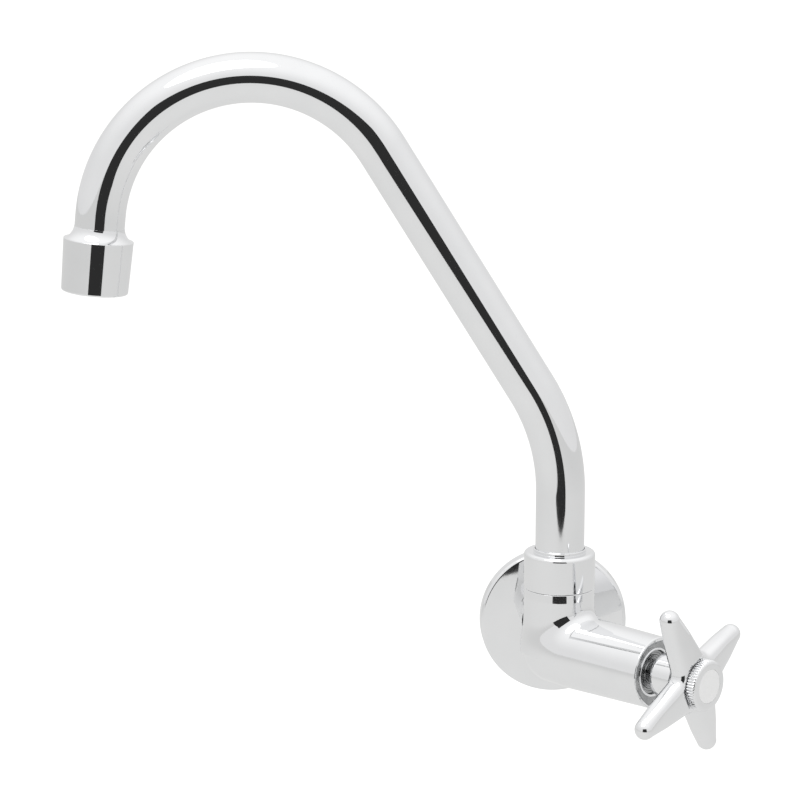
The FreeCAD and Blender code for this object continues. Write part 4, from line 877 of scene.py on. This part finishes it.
def makeDarkScreen():
    # Stands behind the camera, seen only by reflections
    look = screenLook
    material = bpy.data.materials.new("darkFelt")
    tree = clearedTree(material)
    cloth = addNode(tree, "ShaderNodeEmission", {"Color": linearColour(look["colour"]), "Strength": 1.0})
    addNode(tree, "ShaderNodeOutputMaterial", {}, {"Surface": cloth.outputs["Emission"]})
    corners = [(look["left"], look["low"]), (look["rightLow"], look["low"]), (look["rightHigh"], look["high"]),
               (look["left"], look["high"])]
    screen = flatPanel("darkScreen", [(side, -look["distance"], height) for side, height in corners], material)
    screen.visible_camera = False
    screen.visible_diffuse = False
    screen.visible_shadow = False


makeDarkScreen()

worldLook = {"frontGrey": 0.84, "backGrey": 0.8, "frontEdge": -0.9, "backEdge": 0.9, "topGrey": 1.08,
             "topFrom": 0.15, "topFull": 0.95, "fill": 0.82, "white": 1.0, "colour": "#FFFFFF"}


def makeWorld():
    # White for the camera; for reflections a tent, brightest overhead and greyer behind the tap
    look = worldLook
    world = bpy.data.worlds.new("whiteTent")
    tree = clearedTree(world)
    place = addNode(tree, "ShaderNodeTexCoord").outputs["Generated"]
    way = addNode(tree, "ShaderNodeSeparateXYZ", {}, {"Vector": place})
    around = addNode(tree, "ShaderNodeMapRange", {
        "interpolation_type": "SMOOTHSTEP", "From Min": look["frontEdge"], "From Max": look["backEdge"],
        "To Min": look["frontGrey"], "To Max": look["backGrey"]}, {"Value": way.outputs["Y"]}).outputs["Result"]
    lift = addNode(tree, "ShaderNodeMapRange", {
        "interpolation_type": "SMOOTHSTEP", "From Min": look["topFrom"], "From Max": look["topFull"]},
        {"Value": way.outputs["Z"]}).outputs["Result"]
    tent = addNode(tree, "ShaderNodeMix", {"data_type": "FLOAT", "B": look["topGrey"]},
                   {"Factor": lift, "A": around}).outputs["Result"]
    colour = linearColour(look["colour"])
    tentLight = addNode(tree, "ShaderNodeBackground", {"Color": colour}, {"Strength": tent})
    fillLight = addNode(tree, "ShaderNodeBackground", {"Color": colour, "Strength": look["fill"]})
    whiteLight = addNode(tree, "ShaderNodeBackground", {"Color": colour, "Strength": look["white"]})
    path = addNode(tree, "ShaderNodeLightPath").outputs
    glossy = addNode(tree, "ShaderNodeMixShader", {}, {
        "Fac": path["Is Glossy Ray"], 1: fillLight.outputs["Background"], 2: tentLight.outputs["Background"]})
    seen = addNode(tree, "ShaderNodeMixShader", {}, {
        "Fac": path["Is Camera Ray"], 1: glossy.outputs["Shader"], 2: whiteLight.outputs["Background"]})
    addNode(tree, "ShaderNodeOutputWorld", {}, {"Surface": seen.outputs["Shader"]})
    bpy.context.scene.world = world


makeWorld()

lampLook = {"size": 1.2, "watts": 6.0, "place": (-0.5, -0.6, 1.6)}


def makeLamp():
    # Soft overhead lamp, only strong enough to give the floor its shadow
    data = bpy.data.lights.new("softLamp", "AREA")
    data.shape = "DISK"
    data.size = lampLook["size"]
    data.energy = lampLook["watts"]
    lamp = bpy.data.objects.new("softLamp", data)
    lamp.location = lampLook["place"]
    lamp.rotation_euler = (-Vector(lampLook["place"])).to_track_quat("-Z", "Y").to_euler()
    bpy.context.scene.collection.objects.link(lamp)


makeLamp()

cameraLook = {"place": (-0.06223, -0.99910, 0.29918), "tilt": 78.21, "lens": 114.55, "sensor": 36.0}


def makeCamera():
    data = bpy.data.cameras.new("camera")
    data.lens = cameraLook["lens"]
    data.sensor_width = cameraLook["sensor"]
    camera = bpy.data.objects.new("camera", data)
    camera.location = cameraLook["place"]
    camera.rotation_euler = (math.radians(cameraLook["tilt"]), 0, 0)
    bpy.context.scene.collection.objects.link(camera)
    bpy.context.scene.camera = camera


makeCamera()
bpy.context.scene.view_settings.view_transform = "Standard"
print("stage, light and camera made")
